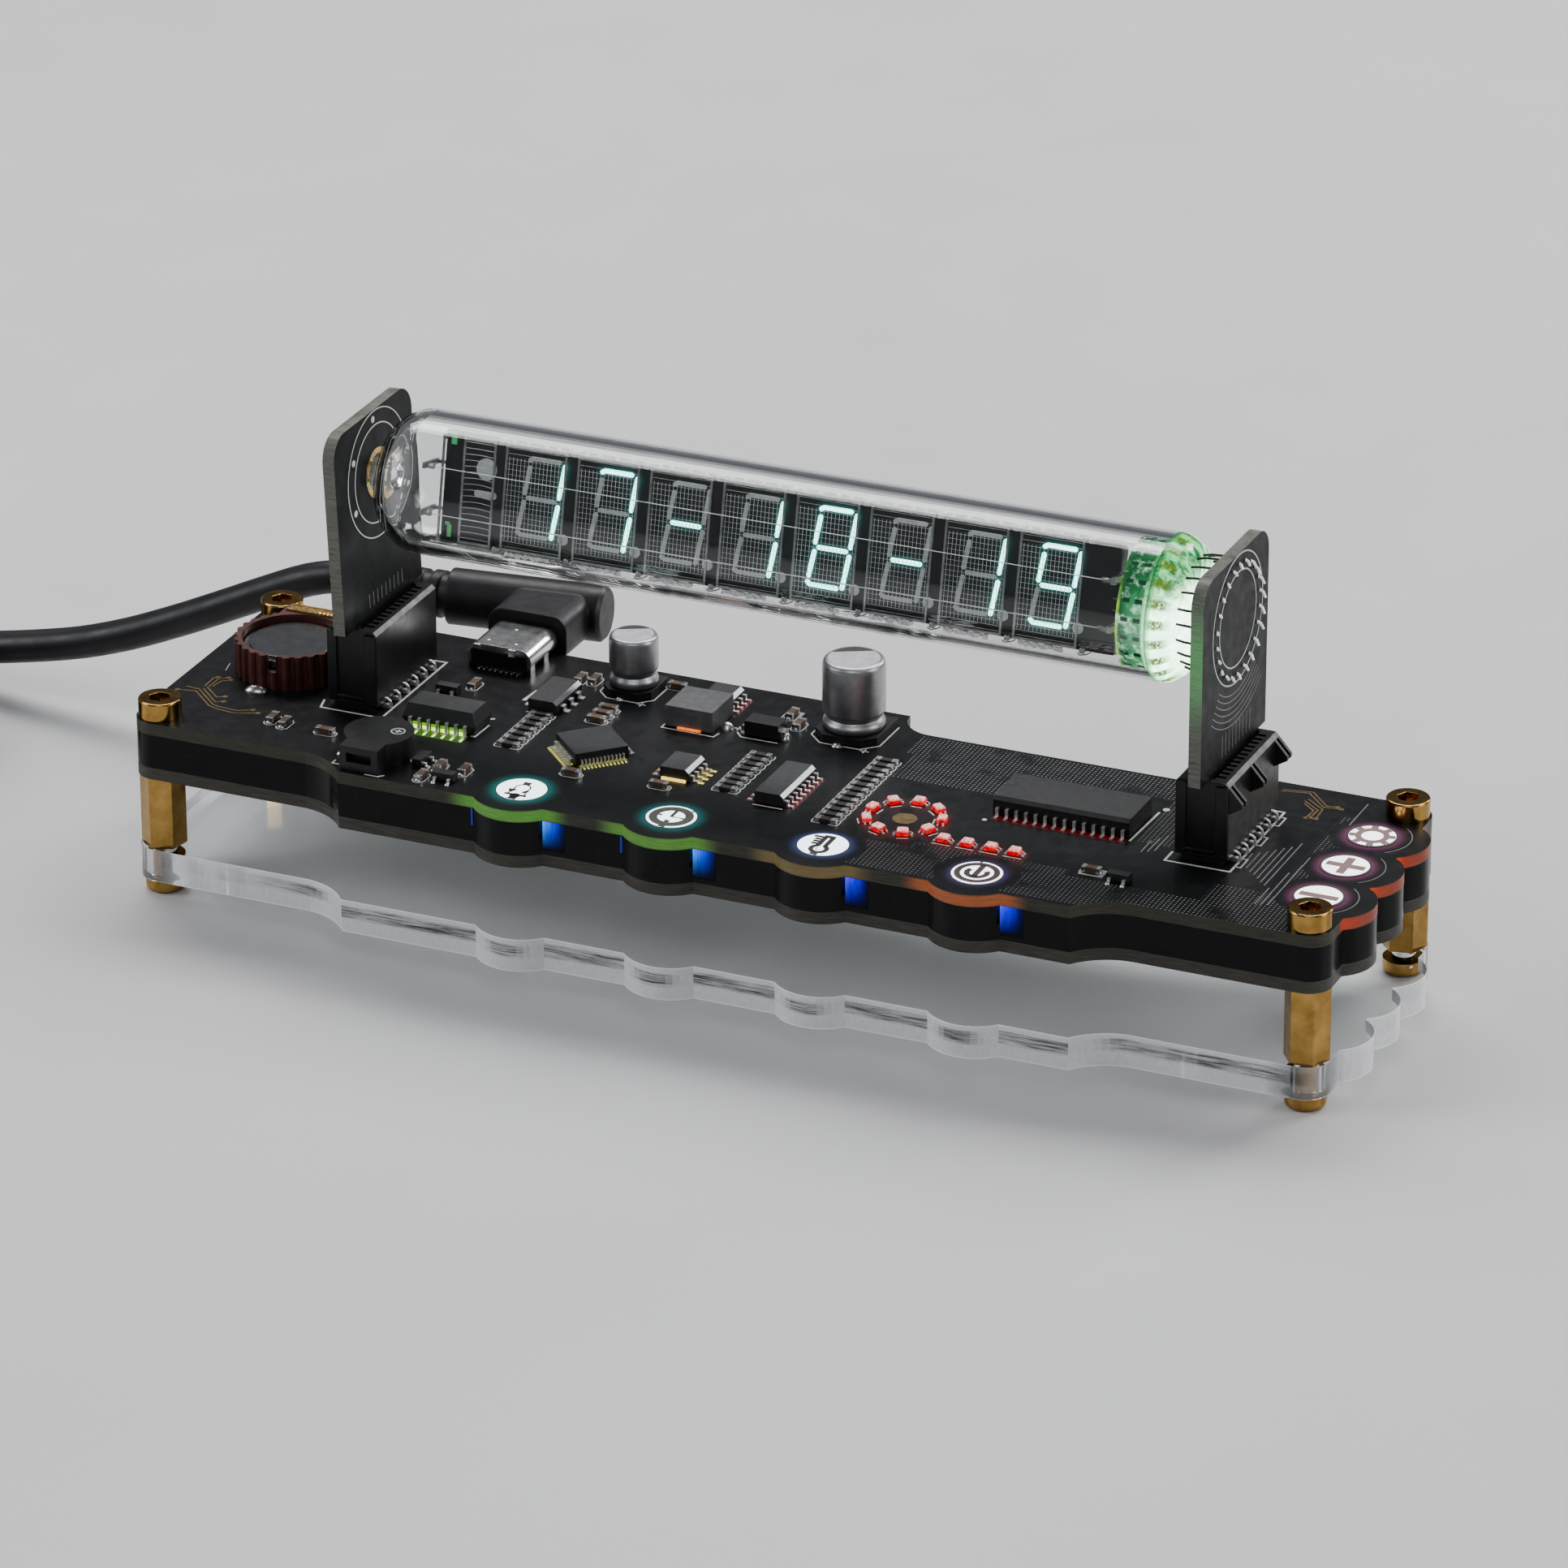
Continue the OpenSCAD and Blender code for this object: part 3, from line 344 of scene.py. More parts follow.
class Look:
    """A node material whose patterns are laid out in the board's millimetres."""

    def __init__(self, name):
        self.mat = bpy.data.materials.new(name)
        self.mat.use_nodes = True
        self.nt = self.mat.node_tree
        self.nt.nodes.clear()
        self.end = self.new("OutputMaterial")
        self._mm = self._xyz = self._up = None

    def new(self, kind, **props):
        n = self.nt.nodes.new("ShaderNode" + kind)
        for k, v in props.items():
            setattr(n, k, v)
        return n

    def put(self, socket, value):
        if isinstance(value, bpy.types.NodeSocket):
            self.nt.links.new(value, socket)
        elif value is not None:
            socket.default_value = value

    def mm(self):
        if self._mm is None:
            at = self.new("TexCoord").outputs["Object"]
            n = self.new("VectorMath", operation="MULTIPLY_ADD")
            self.put(n.inputs[0], at)
            n.inputs[1].default_value = (1000, 1000, 1000)
            n.inputs[2].default_value = tuple(-o for o in OFF)
            self._mm = n.outputs[0]
        return self._mm

    def xyz(self):
        if self._xyz is None:
            n = self.new("SeparateXYZ")
            self.put(n.inputs[0], self.mm())
            self._xyz = tuple(n.outputs)
        return self._xyz

    def up(self):
        """Upward share of the face's direction, 0 to 1 either way."""
        if self._up is None:
            n = self.new("SeparateXYZ")
            self.put(n.inputs[0], self.new("NewGeometry").outputs["True Normal"])
            self._round = self.math("ABSOLUTE", n.outputs[0])
            self._up = self.math("ABSOLUTE", n.outputs[2])
        return self._up

    def math(self, op, a, b=None, c=None, clamp=False):
        n = self.new("Math", operation=op, use_clamp=clamp)
        for s, v in zip(n.inputs, (a, b, c)):
            self.put(s, v)
        return n.outputs[0]

    def scaled(self, sx, sy, sz, vec=None):
        n = self.new("VectorMath", operation="MULTIPLY")
        self.put(n.inputs[0], vec or self.mm())
        n.inputs[1].default_value = (sx, sy, sz)
        return n.outputs[0]

    def noise(self, scale, detail=3.0, rough=0.5, vec=None, bend=0.0):
        n = self.new("TexNoise")
        self.put(n.inputs["Vector"], vec or self.mm())
        n.inputs["Scale"].default_value = scale
        n.inputs["Detail"].default_value = detail
        n.inputs["Roughness"].default_value = rough
        n.inputs["Distortion"].default_value = bend
        return n.outputs["Fac"]

    def ramp(self, fac, stops, kind="LINEAR"):
        n = self.new("ValToRGB")
        n.color_ramp.interpolation = kind
        e = n.color_ramp.elements
        while len(e) < len(stops):
            e.new(1.0)
        for el, (at, col) in zip(e, stops):
            el.position = at
            el.color = (*col, 1) if len(col) == 3 else col
        self.put(n.inputs[0], fac)
        return n.outputs[0]

    def rng(self, v, a, b, c=0.0, d=1.0, kind="LINEAR"):
        n = self.new("MapRange", interpolation_type=kind)
        for s, x in zip(n.inputs, (v, a, b, c, d)):
            self.put(s, x)
        return n.outputs[0]

    def mix(self, fac, a, b, kind="MIX"):
        n = self.new("Mix", data_type="RGBA", blend_type=kind)
        self.put(n.inputs[0], fac)
        for s, v in ((n.inputs[6], a), (n.inputs[7], b)):
            self.put(s, (*v, 1) if isinstance(v, (tuple, list)) and len(v) == 3 else v)
        return n.outputs[2]

    def near(self, x, y, flat=None):
        """Distance in millimetres from an upright line."""
        if flat is None:
            flat = self.scaled(1, 1, 0)
        n = self.new("VectorMath", operation="DISTANCE")
        self.put(n.inputs[0], flat)
        n.inputs[1].default_value = (x, y, 0)
        return n.outputs["Value"]

    def bump(self, height, strength, mm=0.05, normal=None):
        n = self.new("Bump")
        n.inputs["Strength"].default_value = strength
        n.inputs["Distance"].default_value = mm / 1000
        self.put(n.inputs["Height"], height)
        if normal is not None:
            self.put(n.inputs["Normal"], normal)
        return n.outputs[0]

    def soft_edge(self, mm):
        n = self.new("Bevel", samples=4)
        n.inputs["Radius"].default_value = mm / 1000
        return n.outputs[0]

    def shader(self, **sockets):
        n = self.new("BsdfPrincipled")
        for k, v in sockets.items():
            name = k.replace("_", " ")
            if isinstance(v, (tuple, list)) and len(v) == 3:
                v = (*v, 1)
            self.put(n.inputs[name], v)
        return n.outputs[0]

    def mixed(self, fac, a, b):
        n = self.new("MixShader")
        self.put(n.inputs[0], fac)
        self.put(n.inputs[1], a)
        self.put(n.inputs[2], b)
        return n.outputs[0]

    def done(self, shader):
        self.put(self.end.inputs["Surface"], shader)
        return self.mat


def stuff(name, dark, light, rough, metal=0.0, patch=0.6, grain=8.0, relief=0.15, edge=0.0, glow=None, glow_power=0.0,
          spec=None, coat=None, contrast=(0.3, 0.7)):
    """A surface with mottled colour, uneven gloss and a fine grain."""
    k = Look(name)
    fac = k.noise(patch, 4, 0.6)
    base = k.ramp(fac, [(contrast[0], dark), (contrast[1], light)])
    r = k.rng(k.noise(patch * 2.3, 5, 0.65), 0.3, 0.7, rough[0], rough[1])
    normal = k.bump(k.noise(grain, 4, 0.6), relief, 0.02, k.soft_edge(edge) if edge else None)
    more = {}
    if spec is not None:
        more["Specular_IOR_Level"] = spec
    if coat is not None:
        more["Coat_Weight"], more["Coat_Roughness"] = coat
    if glow is not None:
        more["Emission_Color"], more["Emission_Strength"] = glow, glow_power
    return k.done(k.shader(Base_Color=base, Roughness=r, Metallic=metal, Normal=normal, **more))


brass = stuff("brass", (0.31, 0.185, 0.058), (0.52, 0.335, 0.125), (0.10, 0.24), 1.0, 0.35, 14, 0.10, 0.18)
tin = stuff("tin", (0.42, 0.42, 0.42), (0.72, 0.72, 0.71), (0.20, 0.36), 0.95, 1.4, 6, 0.25, 0.04)
lead_tin = stuff("lead_tin", (0.62, 0.62, 0.62), (0.90, 0.90, 0.89), (0.24, 0.42), 0.78, 1.4, 6, 0.25, 0.04)
steel = stuff("steel", (0.64, 0.64, 0.64), (0.82, 0.82, 0.81), (0.15, 0.26), 0.95, 0.5, 10, 0.04, 0.14)
gold = stuff("gold", (0.55, 0.38, 0.16), (0.76, 0.55, 0.26), (0.22, 0.38), 1.0, 1.0, 10, 0.15, 0.05)
trace_gold = stuff("trace_gold", (0.16, 0.11, 0.055), (0.26, 0.185, 0.095), (0.30, 0.45), 0.6, 1.2, 8, 0.1)
silk = stuff("silk_white", (0.44, 0.44, 0.43), (0.66, 0.66, 0.65), (0.55, 0.75), 0.0, 2.2, 9, 0.4)
silk_faint = stuff("silk_faint", (0.14, 0.14, 0.145), (0.24, 0.24, 0.245), (0.4, 0.6), 0.0, 1.6, 9, 0.3)
dark_mark = stuff("dark_mark", (0.020, 0.018, 0.017), (0.045, 0.038, 0.036), (0.45, 0.6), 0.0, 1.5, 9, 0.2,
                  glow=(0.050, 0.040, 0.042, 1), glow_power=0.5)
brown_mark = stuff("brown_mark", (0.060, 0.040, 0.042), (0.095, 0.066, 0.068), (0.45, 0.6), 0.0, 1.5, 9, 0.2,
                   glow=(0.40, 0.25, 0.26, 1), glow_power=0.55)
grey_mark = stuff("grey_mark", (0.034, 0.034, 0.031), (0.060, 0.061, 0.055), (0.45, 0.6), 0.0, 1.5, 9, 0.2,
                  glow=(0.095, 0.097, 0.085, 1), glow_power=0.5)
umber_mark = stuff("umber_mark", (0.034, 0.026, 0.026), (0.060, 0.046, 0.047), (0.45, 0.6), 0.0, 1.5, 9, 0.2,
                   glow=(0.085, 0.060, 0.062, 1), glow_power=0.5)
rubber = stuff("cable_rubber", (0.012, 0.012, 0.013), (0.022, 0.022, 0.024), (0.38, 0.52), 0.0, 0.25, 5, 0.22)
moulded = stuff("plug_moulding", (0.012, 0.012, 0.013), (0.020, 0.020, 0.022), (0.36, 0.50), 0.0, 0.3, 7, 0.25, 0.5)
plastic = stuff("black_plastic", (0.010, 0.010, 0.011), (0.018, 0.018, 0.019), (0.36, 0.52), 0.0, 0.4, 7, 0.30, 0.10)
socket_black = stuff("socket_black", (0.011, 0.011, 0.012), (0.019, 0.019, 0.021), (0.28, 0.42), 0.0, 0.35, 6, 0.22, 0.12)
epoxy = stuff("chip_epoxy", (0.012, 0.012, 0.013), (0.024, 0.024, 0.026), (0.42, 0.60), 0.0, 0.8, 12, 0.45, 0.09)
ferrite = stuff("ferrite_grey", (0.085, 0.085, 0.09), (0.135, 0.135, 0.14), (0.38, 0.52), 0.0, 0.7, 9, 0.5, 0.22)
resistor = stuff("resistor_body", (0.020, 0.018, 0.017), (0.050, 0.042, 0.038), (0.30, 0.5), 0.0, 0.8, 9, 0.3, 0.05)
ceramic = stuff("ceramic_brown", (0.075, 0.048, 0.034), (0.155, 0.100, 0.070), (0.30, 0.48), 0.0, 0.7, 9, 0.3, 0.06)
holder_brown = stuff("holder_brown", (0.062, 0.020, 0.017), (0.115, 0.040, 0.034), (0.36, 0.52), 0.0, 0.4, 7, 0.3, 0.10)
white_plastic = stuff("white_plastic", (0.70, 0.70, 0.68), (0.82, 0.82, 0.80), (0.35, 0.5), 0.0, 0.5, 7, 0.2, 0.1)
can_metal = stuff("can_metal", (0.34, 0.34, 0.35), (0.47, 0.47, 0.48), (0.32, 0.44), 0.95, 0.5, 16, 0.22)
can_top = stuff("can_top", (0.46, 0.46, 0.49), (0.60, 0.60, 0.63), (0.40, 0.55), 0.75, 0.8, 16, 0.3)
wire_grey = stuff("mesh_wire", (0.36, 0.38, 0.38), (0.58, 0.60, 0.60), (0.40, 0.55), 0.35, 1.2, 6, 0.1)
frame_grey = stuff("frame_metal", (0.22, 0.23, 0.23), (0.38, 0.39, 0.39), (0.26, 0.42), 0.9, 0.6, 8, 0.2)
dark_metal = stuff("lead_dark", (0.05, 0.05, 0.05), (0.12, 0.12, 0.12), (0.30, 0.5), 0.8, 1.0, 8, 0.2)
clamp_grey = stuff("clamp_metal", (0.48, 0.49, 0.49), (0.78, 0.79, 0.79), (0.20, 0.40), 0.85, 1.6, 5, 0.5)
# the faint glow here is painted light that brightens the clipped pin ends on the card
pin_tin = stuff("pin_tin", (0.88, 0.88, 0.87), (0.97, 0.97, 0.96), (0.28, 0.42), 0.15, 1.4, 6, 0.2,
                glow=(1, 1, 0.98, 1), glow_power=0.16)
phosphor = stuff("phosphor_dark", (0.29, 0.31, 0.305), (0.42, 0.445, 0.435), (0.55, 0.75), 0.0, 1.3, 11, 0.4)

PADS = [(-25.6 + 20.24 * i, -19.45) for i in range(4)]
SIDES = [(75.2, 0.1 + 9.3 * i) for i in (-1, 0, 1)]
# painted glow of the pad lamps: HALO on the board round each pad, LOBE on the board's cut edge beside the pad
HALO = [(0.010, 0.24, 0.23), (0.010, 0.20, 0.20), (0.06, 0.10, 0.30), (0.085, 0.055, 0.20)] + [(0.30, 0.07, 0.20)] * 3
LOBE = [(0.075, 0.235, 0.030), (0.075, 0.215, 0.030), (0.115, 0.080, 0.028), (0.27, 0.066, 0.017)] + [(0.60, 0.048, 0.008)] * 3


def inside(k, x0, x1, y0, y1):
    x, y, _ = k.xyz()
    a = k.math("MULTIPLY", k.math("GREATER_THAN", x, x0), k.math("LESS_THAN", x, x1))
    b = k.math("MULTIPLY", k.math("GREATER_THAN", y, y0), k.math("LESS_THAN", y, y1))
    return k.math("MULTIPLY", a, b)


def fibre(k, dark, light):
    """Cut edge of a board: pressed layers of glass cloth."""
    layers = k.noise(1.0, 4, 0.7, k.scaled(0.35, 0.35, 7.0))
    flecks = k.noise(1.0, 3, 0.6, k.scaled(5, 5, 9))
    return k.mix(k.rng(flecks, 0.35, 0.7, 0.0, 0.55), k.ramp(layers, [(0.32, dark), (0.70, light)]), light)


def board_look():
    k = Look("upper_board")
    x, y, z = k.xyz()
    flat = k.scaled(1, 1, 0)
    top = k.math("GREATER_THAN", k.up(), 0.5)
    base = k.ramp(k.noise(0.35, 5, 0.6), [(0.3, (0.0085, 0.0088, 0.0098)), (0.7, (0.0135, 0.0138, 0.0150))])
    # small bare spots in rows, over parts of the board
    spots = []
    for v in (x, y):
        spots.append(k.math("SUBTRACT", k.math("FRACT", k.math("DIVIDE", v, 0.56)), 0.5))
    r2 = k.math("ADD", k.math("MULTIPLY", spots[0], spots[0]), k.math("MULTIPLY", spots[1], spots[1]))
    spot = k.rng(r2, 0.030, 0.062, 1.0, 0.0)
    where = inside(k, 13.5, 75, -23.0, -15.6)
    for box in ((62.5, 77.6, -15.6, -10.6), (69.8, 77.6, -10.6, 13.2), (13.5, 60, 9.6, 15.0), (14.5, 29.5, 2.2, 9.6),
                (49.2, 53.6, -3.5, 9.6), (24.5, 45.0, -20.0, -14.2)):
        where = k.math("MAXIMUM", where, inside(k, *box))
    clear = None
    for cx, cy in PADS[2:] + SIDES:
        one = k.math("GREATER_THAN", k.near(cx, cy, flat), 5.3)
        clear = one if clear is None else k.math("MULTIPLY", clear, one)
    patchy = k.rng(k.noise(0.16, 3, 0.6), 0.34, 0.46)
    spot = k.math("MULTIPLY", k.math("MULTIPLY", spot, where), k.math("MULTIPLY", clear, patchy))
    base = k.mix(spot, base, (0.22, 0.22, 0.22))
    # faint tracks under the lacquer
    tracks = k.new("TexWave", wave_type="BANDS", bands_direction="DIAGONAL", wave_profile="SIN")
    k.put(tracks.inputs["Vector"], k.scaled(1, 1, 0))
    tracks.inputs["Scale"].default_value = 0.55
    tracks.inputs["Distortion"].default_value = 6.0
    tracks.inputs["Detail Scale"].default_value = 0.12
    relief = k.math("ADD", k.math("MULTIPLY", k.math("GREATER_THAN", tracks.outputs["Fac"], 0.62), 0.5),
                    k.math("MULTIPLY", k.noise(5, 4, 0.6), 0.5))
    edge = fibre(k, (0.022, 0.022, 0.017), (0.080, 0.078, 0.060))
    glow_top = glow_side = None
    for (cx, cy), halo, lobe, size in zip(PADS + SIDES, HALO, LOBE, [5.3, 5.3, 4.8, 4.7] + [4.8] * 3):
        d = k.near(cx, cy, flat)
        h = k.math("POWER", k.rng(d, 2.9, size, 1.0, 0.0), 2.2)
        ring = k.mix(h, (0, 0, 0), halo)
        reach = (6.5, 9.6) if cy == -19.45 else (5.6, 8.2)
        side = k.mix(k.rng(d, *reach, 1.0, 0.0, "SMOOTHSTEP"), (0, 0, 0), lobe)
        glow_top = ring if glow_top is None else k.mix(1.0, glow_top, ring, "ADD")
        glow_side = side if glow_side is None else k.mix(1.0, glow_side, side, "ADD")
    # painted red glow on the board round the ring and along the row of red lamps
    off_ring = k.math("ABSOLUTE", k.math("SUBTRACT", k.near(21, -8.5, flat), 4.7))
    shine = k.math("POWER", k.rng(off_ring, 0.2, 1.9, 1.0, 0.0), 1.6)
    row = k.math("MULTIPLY", inside(k, 26.5, 39.0, -15.0, -10.5),
                 k.rng(k.math("ABSOLUTE", k.math("ADD", y, 12.9)), 0.3, 1.9, 1.0, 0.0))
    glow_top = k.mix(1.0, glow_top, k.mix(k.math("MAXIMUM", shine, row), (0, 0, 0), (0.075, 0.006, 0.006)), "ADD")
    band = k.ramp(k.noise(1.0, 4, 0.7, k.scaled(0.5, 0.5, 5.0)), [(0.25, (0.55, 0.55, 0.55)), (0.7, (1, 1, 1))])
    rim = k.rng(k.math("ABSOLUTE", k.math("ADD", z, 0.8)), 0.62, 0.80, 1.0, 0.25)
    glow_side = k.mix(1.0, glow_side, band, "MULTIPLY")
    glow_side = k.mix(rim, (0, 0, 0), glow_side)
    glow = k.mix(top, glow_side, glow_top)
    col = k.mix(top, edge, base)
    rough = k.rng(k.noise(0.5, 4, 0.6), 0.3, 0.7, 0.30, 0.42)
    return k.done(k.shader(Base_Color=col, Roughness=rough, Specular_IOR_Level=0.28, Normal=k.bump(relief, 0.10, 0.03),
                           Emission_Color=glow, Emission_Strength=1.0))


def lower_look():
    k = Look("lower_board")
    top = k.math("GREATER_THAN", k.up(), 0.5)
    base = k.ramp(k.noise(0.35, 5, 0.6), [(0.3, (0.0085, 0.0088, 0.0098)), (0.7, (0.0135, 0.0138, 0.0150))])
    edge = fibre(k, (0.024, 0.023, 0.020), (0.095, 0.092, 0.080))
    rough = k.rng(k.noise(0.5, 4, 0.6), 0.3, 0.7, 0.34, 0.5)
    return k.done(k.shader(Base_Color=k.mix(top, edge, base), Roughness=rough, Specular_IOR_Level=0.28,
                           Normal=k.bump(k.noise(5, 4, 0.6), 0.15, 0.03)))


def spacer_look():
    k = Look("black_acrylic")
    base = k.ramp(k.noise(0.3, 4, 0.6), [(0.3, (0.0050, 0.0050, 0.0055)), (0.7, (0.0085, 0.0085, 0.0095))])
    streaks = k.noise(1.0, 4, 0.6, k.scaled(3.2, 3.2, 0.10))
    rough = k.rng(streaks, 0.3, 0.75, 0.10, 0.26)
    return k.done(k.shader(Base_Color=base, Roughness=rough, Specular_IOR_Level=0.22, Normal=k.bump(streaks, 0.10, 0.03)))


def through_shadow(k, shader, tint=(1, 1, 1)):
    """Lets lamps shine through a clear piece."""
    clear = k.new("BsdfTransparent")
    clear.inputs[0].default_value = (*tint, 1)
    return k.mixed(k.new("LightPath").outputs["Is Shadow Ray"], shader, clear.outputs[0])


def acrylic_look():
    """Clear plate with polished faces; its cut edge has painted light rims and painted dark refractions between them.
    """
    k = Look("clear_acrylic")
    x, y, z = k.xyz()
    faces = k.math("GREATER_THAN", k.up(), 0.5)
    haze = k.rng(k.noise(0.4, 4, 0.6), 0.35, 0.75, 0.0, 0.07)
    clear = k.shader(Base_Color=(0.96, 0.975, 0.975), Roughness=haze, IOR=1.49, Transmission_Weight=1.0)
    fine = k.noise(1.0, 4, 0.65, k.scaled(2.2, 2.2, 1.2))
    streak = k.noise(1.0, 4, 0.65, k.scaled(0.16, 0.16, 3.6), bend=0.3)
    wave = k.noise(1.0, 3, 0.5, k.scaled(0.12, 0.12, 0.3))
    # painted dark refraction: a streaky dark band along the middle of the cut edge, weaker near the front left
    low = k.math("ADD", z, k.math("MULTIPLY", k.math("SUBTRACT", wave, 0.5), 0.9))
    band = k.math("MULTIPLY", k.rng(low, -20.2, -19.6, 0.0, 1.0, "SMOOTHSTEP"), k.rng(low, -18.5, -18.1, 1.0, 0.0, "SMOOTHSTEP"))
    flat = k.rng(k._round, 0.15, 0.60, 1.0, 0.0, "SMOOTHSTEP")
    dark = k.math("MULTIPLY", k.math("MULTIPLY", band, flat), k.rng(streak, 0.38, 0.62, 1.0, 0.12))
    dark = k.math("MULTIPLY", dark, k.rng(k.near(-71.0, -17.0), 8.0, 17.0, 0.12, 1.0))
    tone = k.mix(dark, k.ramp(fine, [(0.25, (0.78, 0.78, 0.81)), (0.75, (0.93, 0.93, 0.95))]), (0.095, 0.095, 0.104))
    # painted highlights: bright lines along the top and bottom of the cut edge, and a painted sparkle near the front
    # left
    glint = k.math("MAXIMUM", k.rng(z, -17.78, -17.62, 0.0, 1.0), k.rng(z, -21.80, -21.62, 1.0, 0.0))
    tone = k.mix(glint, tone, (0.97, 0.97, 0.98))
    painted_sparkle = k.math("MULTIPLY", k.rng(k.near(-71.0, -17.0), 3.0, 10.0, 1.0, 0.0),
                   k.rng(k.noise(1.0, 2, 0.5, k.scaled(0.5, 0.5, 0.1)), 0.44, 0.58))
    tone = k.mix(painted_sparkle, tone, (0.97, 0.97, 0.97))
    frost_with_painted_light = k.shader(Base_Color=tone, Roughness=k.rng(fine, 0.3, 0.7, 0.14, 0.28), Normal=k.bump(fine, 0.06, 0.04))
    edge = k.shader(Base_Color=(0.86, 0.87, 0.89), Roughness=k.rng(fine, 0.3, 0.7, 0.03, 0.12), IOR=1.49,
                    Transmission_Weight=1.0, Normal=k.bump(fine, 0.08, 0.05))
    cover = k.math("MAXIMUM", k.rng(band, 0.0, 1.0, 0.86, 0.82), glint)
    over, along = (k.math("SUBTRACT", k.math("ABSOLUTE", v), at) for v, at in ((x, 77.0), (y, 17.0)))
    away = k.math("SQRT", k.math("ADD", k.math("MULTIPLY", over, over), k.math("MULTIPLY", along, along)))
    cover = k.math("MULTIPLY", cover, k.rng(away, 2.2, 5.2, 0.0, 1.0))
    return k.done(through_shadow(k, k.mixed(faces, k.mixed(cover, edge, frost_with_painted_light), clear), (0.93, 0.94, 0.94)))


def tube_look():
    k = Look("tube_glass")
    film = k.rng(k.noise(0.25, 4, 0.6), 0.4, 0.8, 0.0, 0.035)
    body = k.shader(Base_Color=(0.985, 0.992, 0.99), Roughness=film, IOR=1.47, Transmission_Weight=1.0)
    return k.done(through_shadow(k, body, (0.97, 0.98, 0.98)))


def tube_base_look():
    """Pressed glass foot of the tube, lit from behind, with that light painted in as glow: a clear green collar with
    two rows of dark ticks, a painted bright rim, and a painted white core with a yellowish feathered painted shade at
    each lead."""
    k = Look("tube_foot")
    x, y, z = k.xyz()
    ang = k.math("ARCTAN2", k.math("SUBTRACT", z, 28.85), k.math("SUBTRACT", y, 2.85))
    leads = k.math("COSINE", k.math("MULTIPLY", k.math("ADD", ang, math.pi / 22), 22.0))
    run = k.new("CombineXYZ")
    k.put(run.inputs[0], k.math("MULTIPLY", x, 0.9))
    k.put(run.inputs[1], k.math("MULTIPLY", ang, 7.0))
    streak = k.noise(1.0, 5, 0.7, run.outputs[0], 0.6)
    fine = k.noise(3.2, 4, 0.75, run.outputs[0], 0.5)
    tone = k.ramp(k.rng(x, 46.8, 54.8), [(0.0, (0.10, 0.20, 0.02)), (0.04, (0.30, 0.48, 0.07)), (0.085, (0.01, 0.06, 0.025)),
                                         (0.20, (0.05, 0.20, 0.09)), (0.42, (0.09, 0.30, 0.14)), (0.455, (0.60, 1.0, 0.66)),
                                         (0.49, (0.60, 1.0, 0.66)), (0.53, (0.035, 0.26, 0.085)), (0.62, (0.60, 1.0, 0.64)),
                                         (1.0, (0.80, 1.0, 0.82))])
    high = k.math("ABSOLUTE", k.math("SUBTRACT", z, 27.2))
    core = k.rng(high, 3.5, 9.5, 1.0, 0.0, "SMOOTHSTEP")
    tone = k.mix(core, k.mix(1.0, tone, (0.42, 0.88, 0.50), "MULTIPLY"), tone)
    cloudy = k.rng(streak, 0.38, 0.58, 0.05, 1.0)
    light = k.math("MULTIPLY", k.math("MAXIMUM", core, 0.28),
                   k.math("MAXIMUM", cloudy, k.math("MULTIPLY", core, 0.75)))
    glow = k.mix(light, (0.003, 0.035, 0.012), tone)
    # painted paler glow in patches on the collar
    pale_glow_patches = k.math("MULTIPLY", k.rng(k.noise(0.9, 4, 0.6), 0.50, 0.66), k.math("LESS_THAN", x, 50.4))
    glow = k.mix(k.math("MULTIPLY", pale_glow_patches, 0.7), glow, (0.42, 0.72, 0.50))
    # painted shade where each lead crosses the white core
    lead_shade = k.math("MULTIPLY", k.rng(k.math("ABSOLUTE", k.math("SUBTRACT", x, 52.35)), 0.50, 1.55, 1.0, 0.0),
                    k.math("MULTIPLY", k.rng(leads, -0.30, 0.50), k.rng(fine, 0.31, 0.50)))
    glow = k.mix(k.math("MULTIPLY", lead_shade, 0.96), glow, (0.034, 0.050, 0.004))
    ticks = k.math("MAXIMUM", k.rng(k.math("ABSOLUTE", k.math("SUBTRACT", x, 48.1)), 0.38, 0.55, 1.0, 0.0),
                   k.rng(k.math("ABSOLUTE", k.math("SUBTRACT", x, 49.7)), 0.38, 0.55, 1.0, 0.0))
    ticks = k.math("MULTIPLY", ticks, k.rng(leads, 0.62, 0.85))
    glow = k.mix(ticks, glow, (0.002, 0.018, 0.008))
    # the painted glow dims towards the left
    glow = k.mix(k.rng(x, 50.6, 51.8, 0.34, 1.0), (0, 0, 0), glow)
    return k.done(k.shader(Base_Color=(0.010, 0.045, 0.020), Roughness=k.rng(fine, 0.3, 0.7, 0.05, 0.16),
                           Normal=k.bump(streak, 0.05, 0.10),
                           Emission_Color=glow, Emission_Strength=4.2))


def pin_look():
    """Dark leads between the tube and the card."""
    k = Look("tube_pin")
    mottle = k.noise(1.5, 4, 0.6)
    col = k.ramp(mottle, [(0.3, (0.016, 0.022, 0.016)), (0.7, (0.05, 0.06, 0.045))])
    return k.done(k.shader(Base_Color=col, Metallic=0.6, Roughness=k.rng(mottle, 0.3, 0.7, 0.30, 0.5),
                           Normal=k.bump(k.noise(6, 4, 0.6), 0.2, 0.03)))


def glowing(name, stops, power, body=(0.6, 0.6, 0.6), scale=1.2, rough=0.35):
    k = Look(name)
    tone = k.ramp(k.noise(scale, 3, 0.6), stops)
    return k.done(k.shader(Base_Color=body, Roughness=rough, Emission_Color=tone, Emission_Strength=power,
                           Normal=k.bump(k.noise(6, 3, 0.5), 0.1, 0.02)))


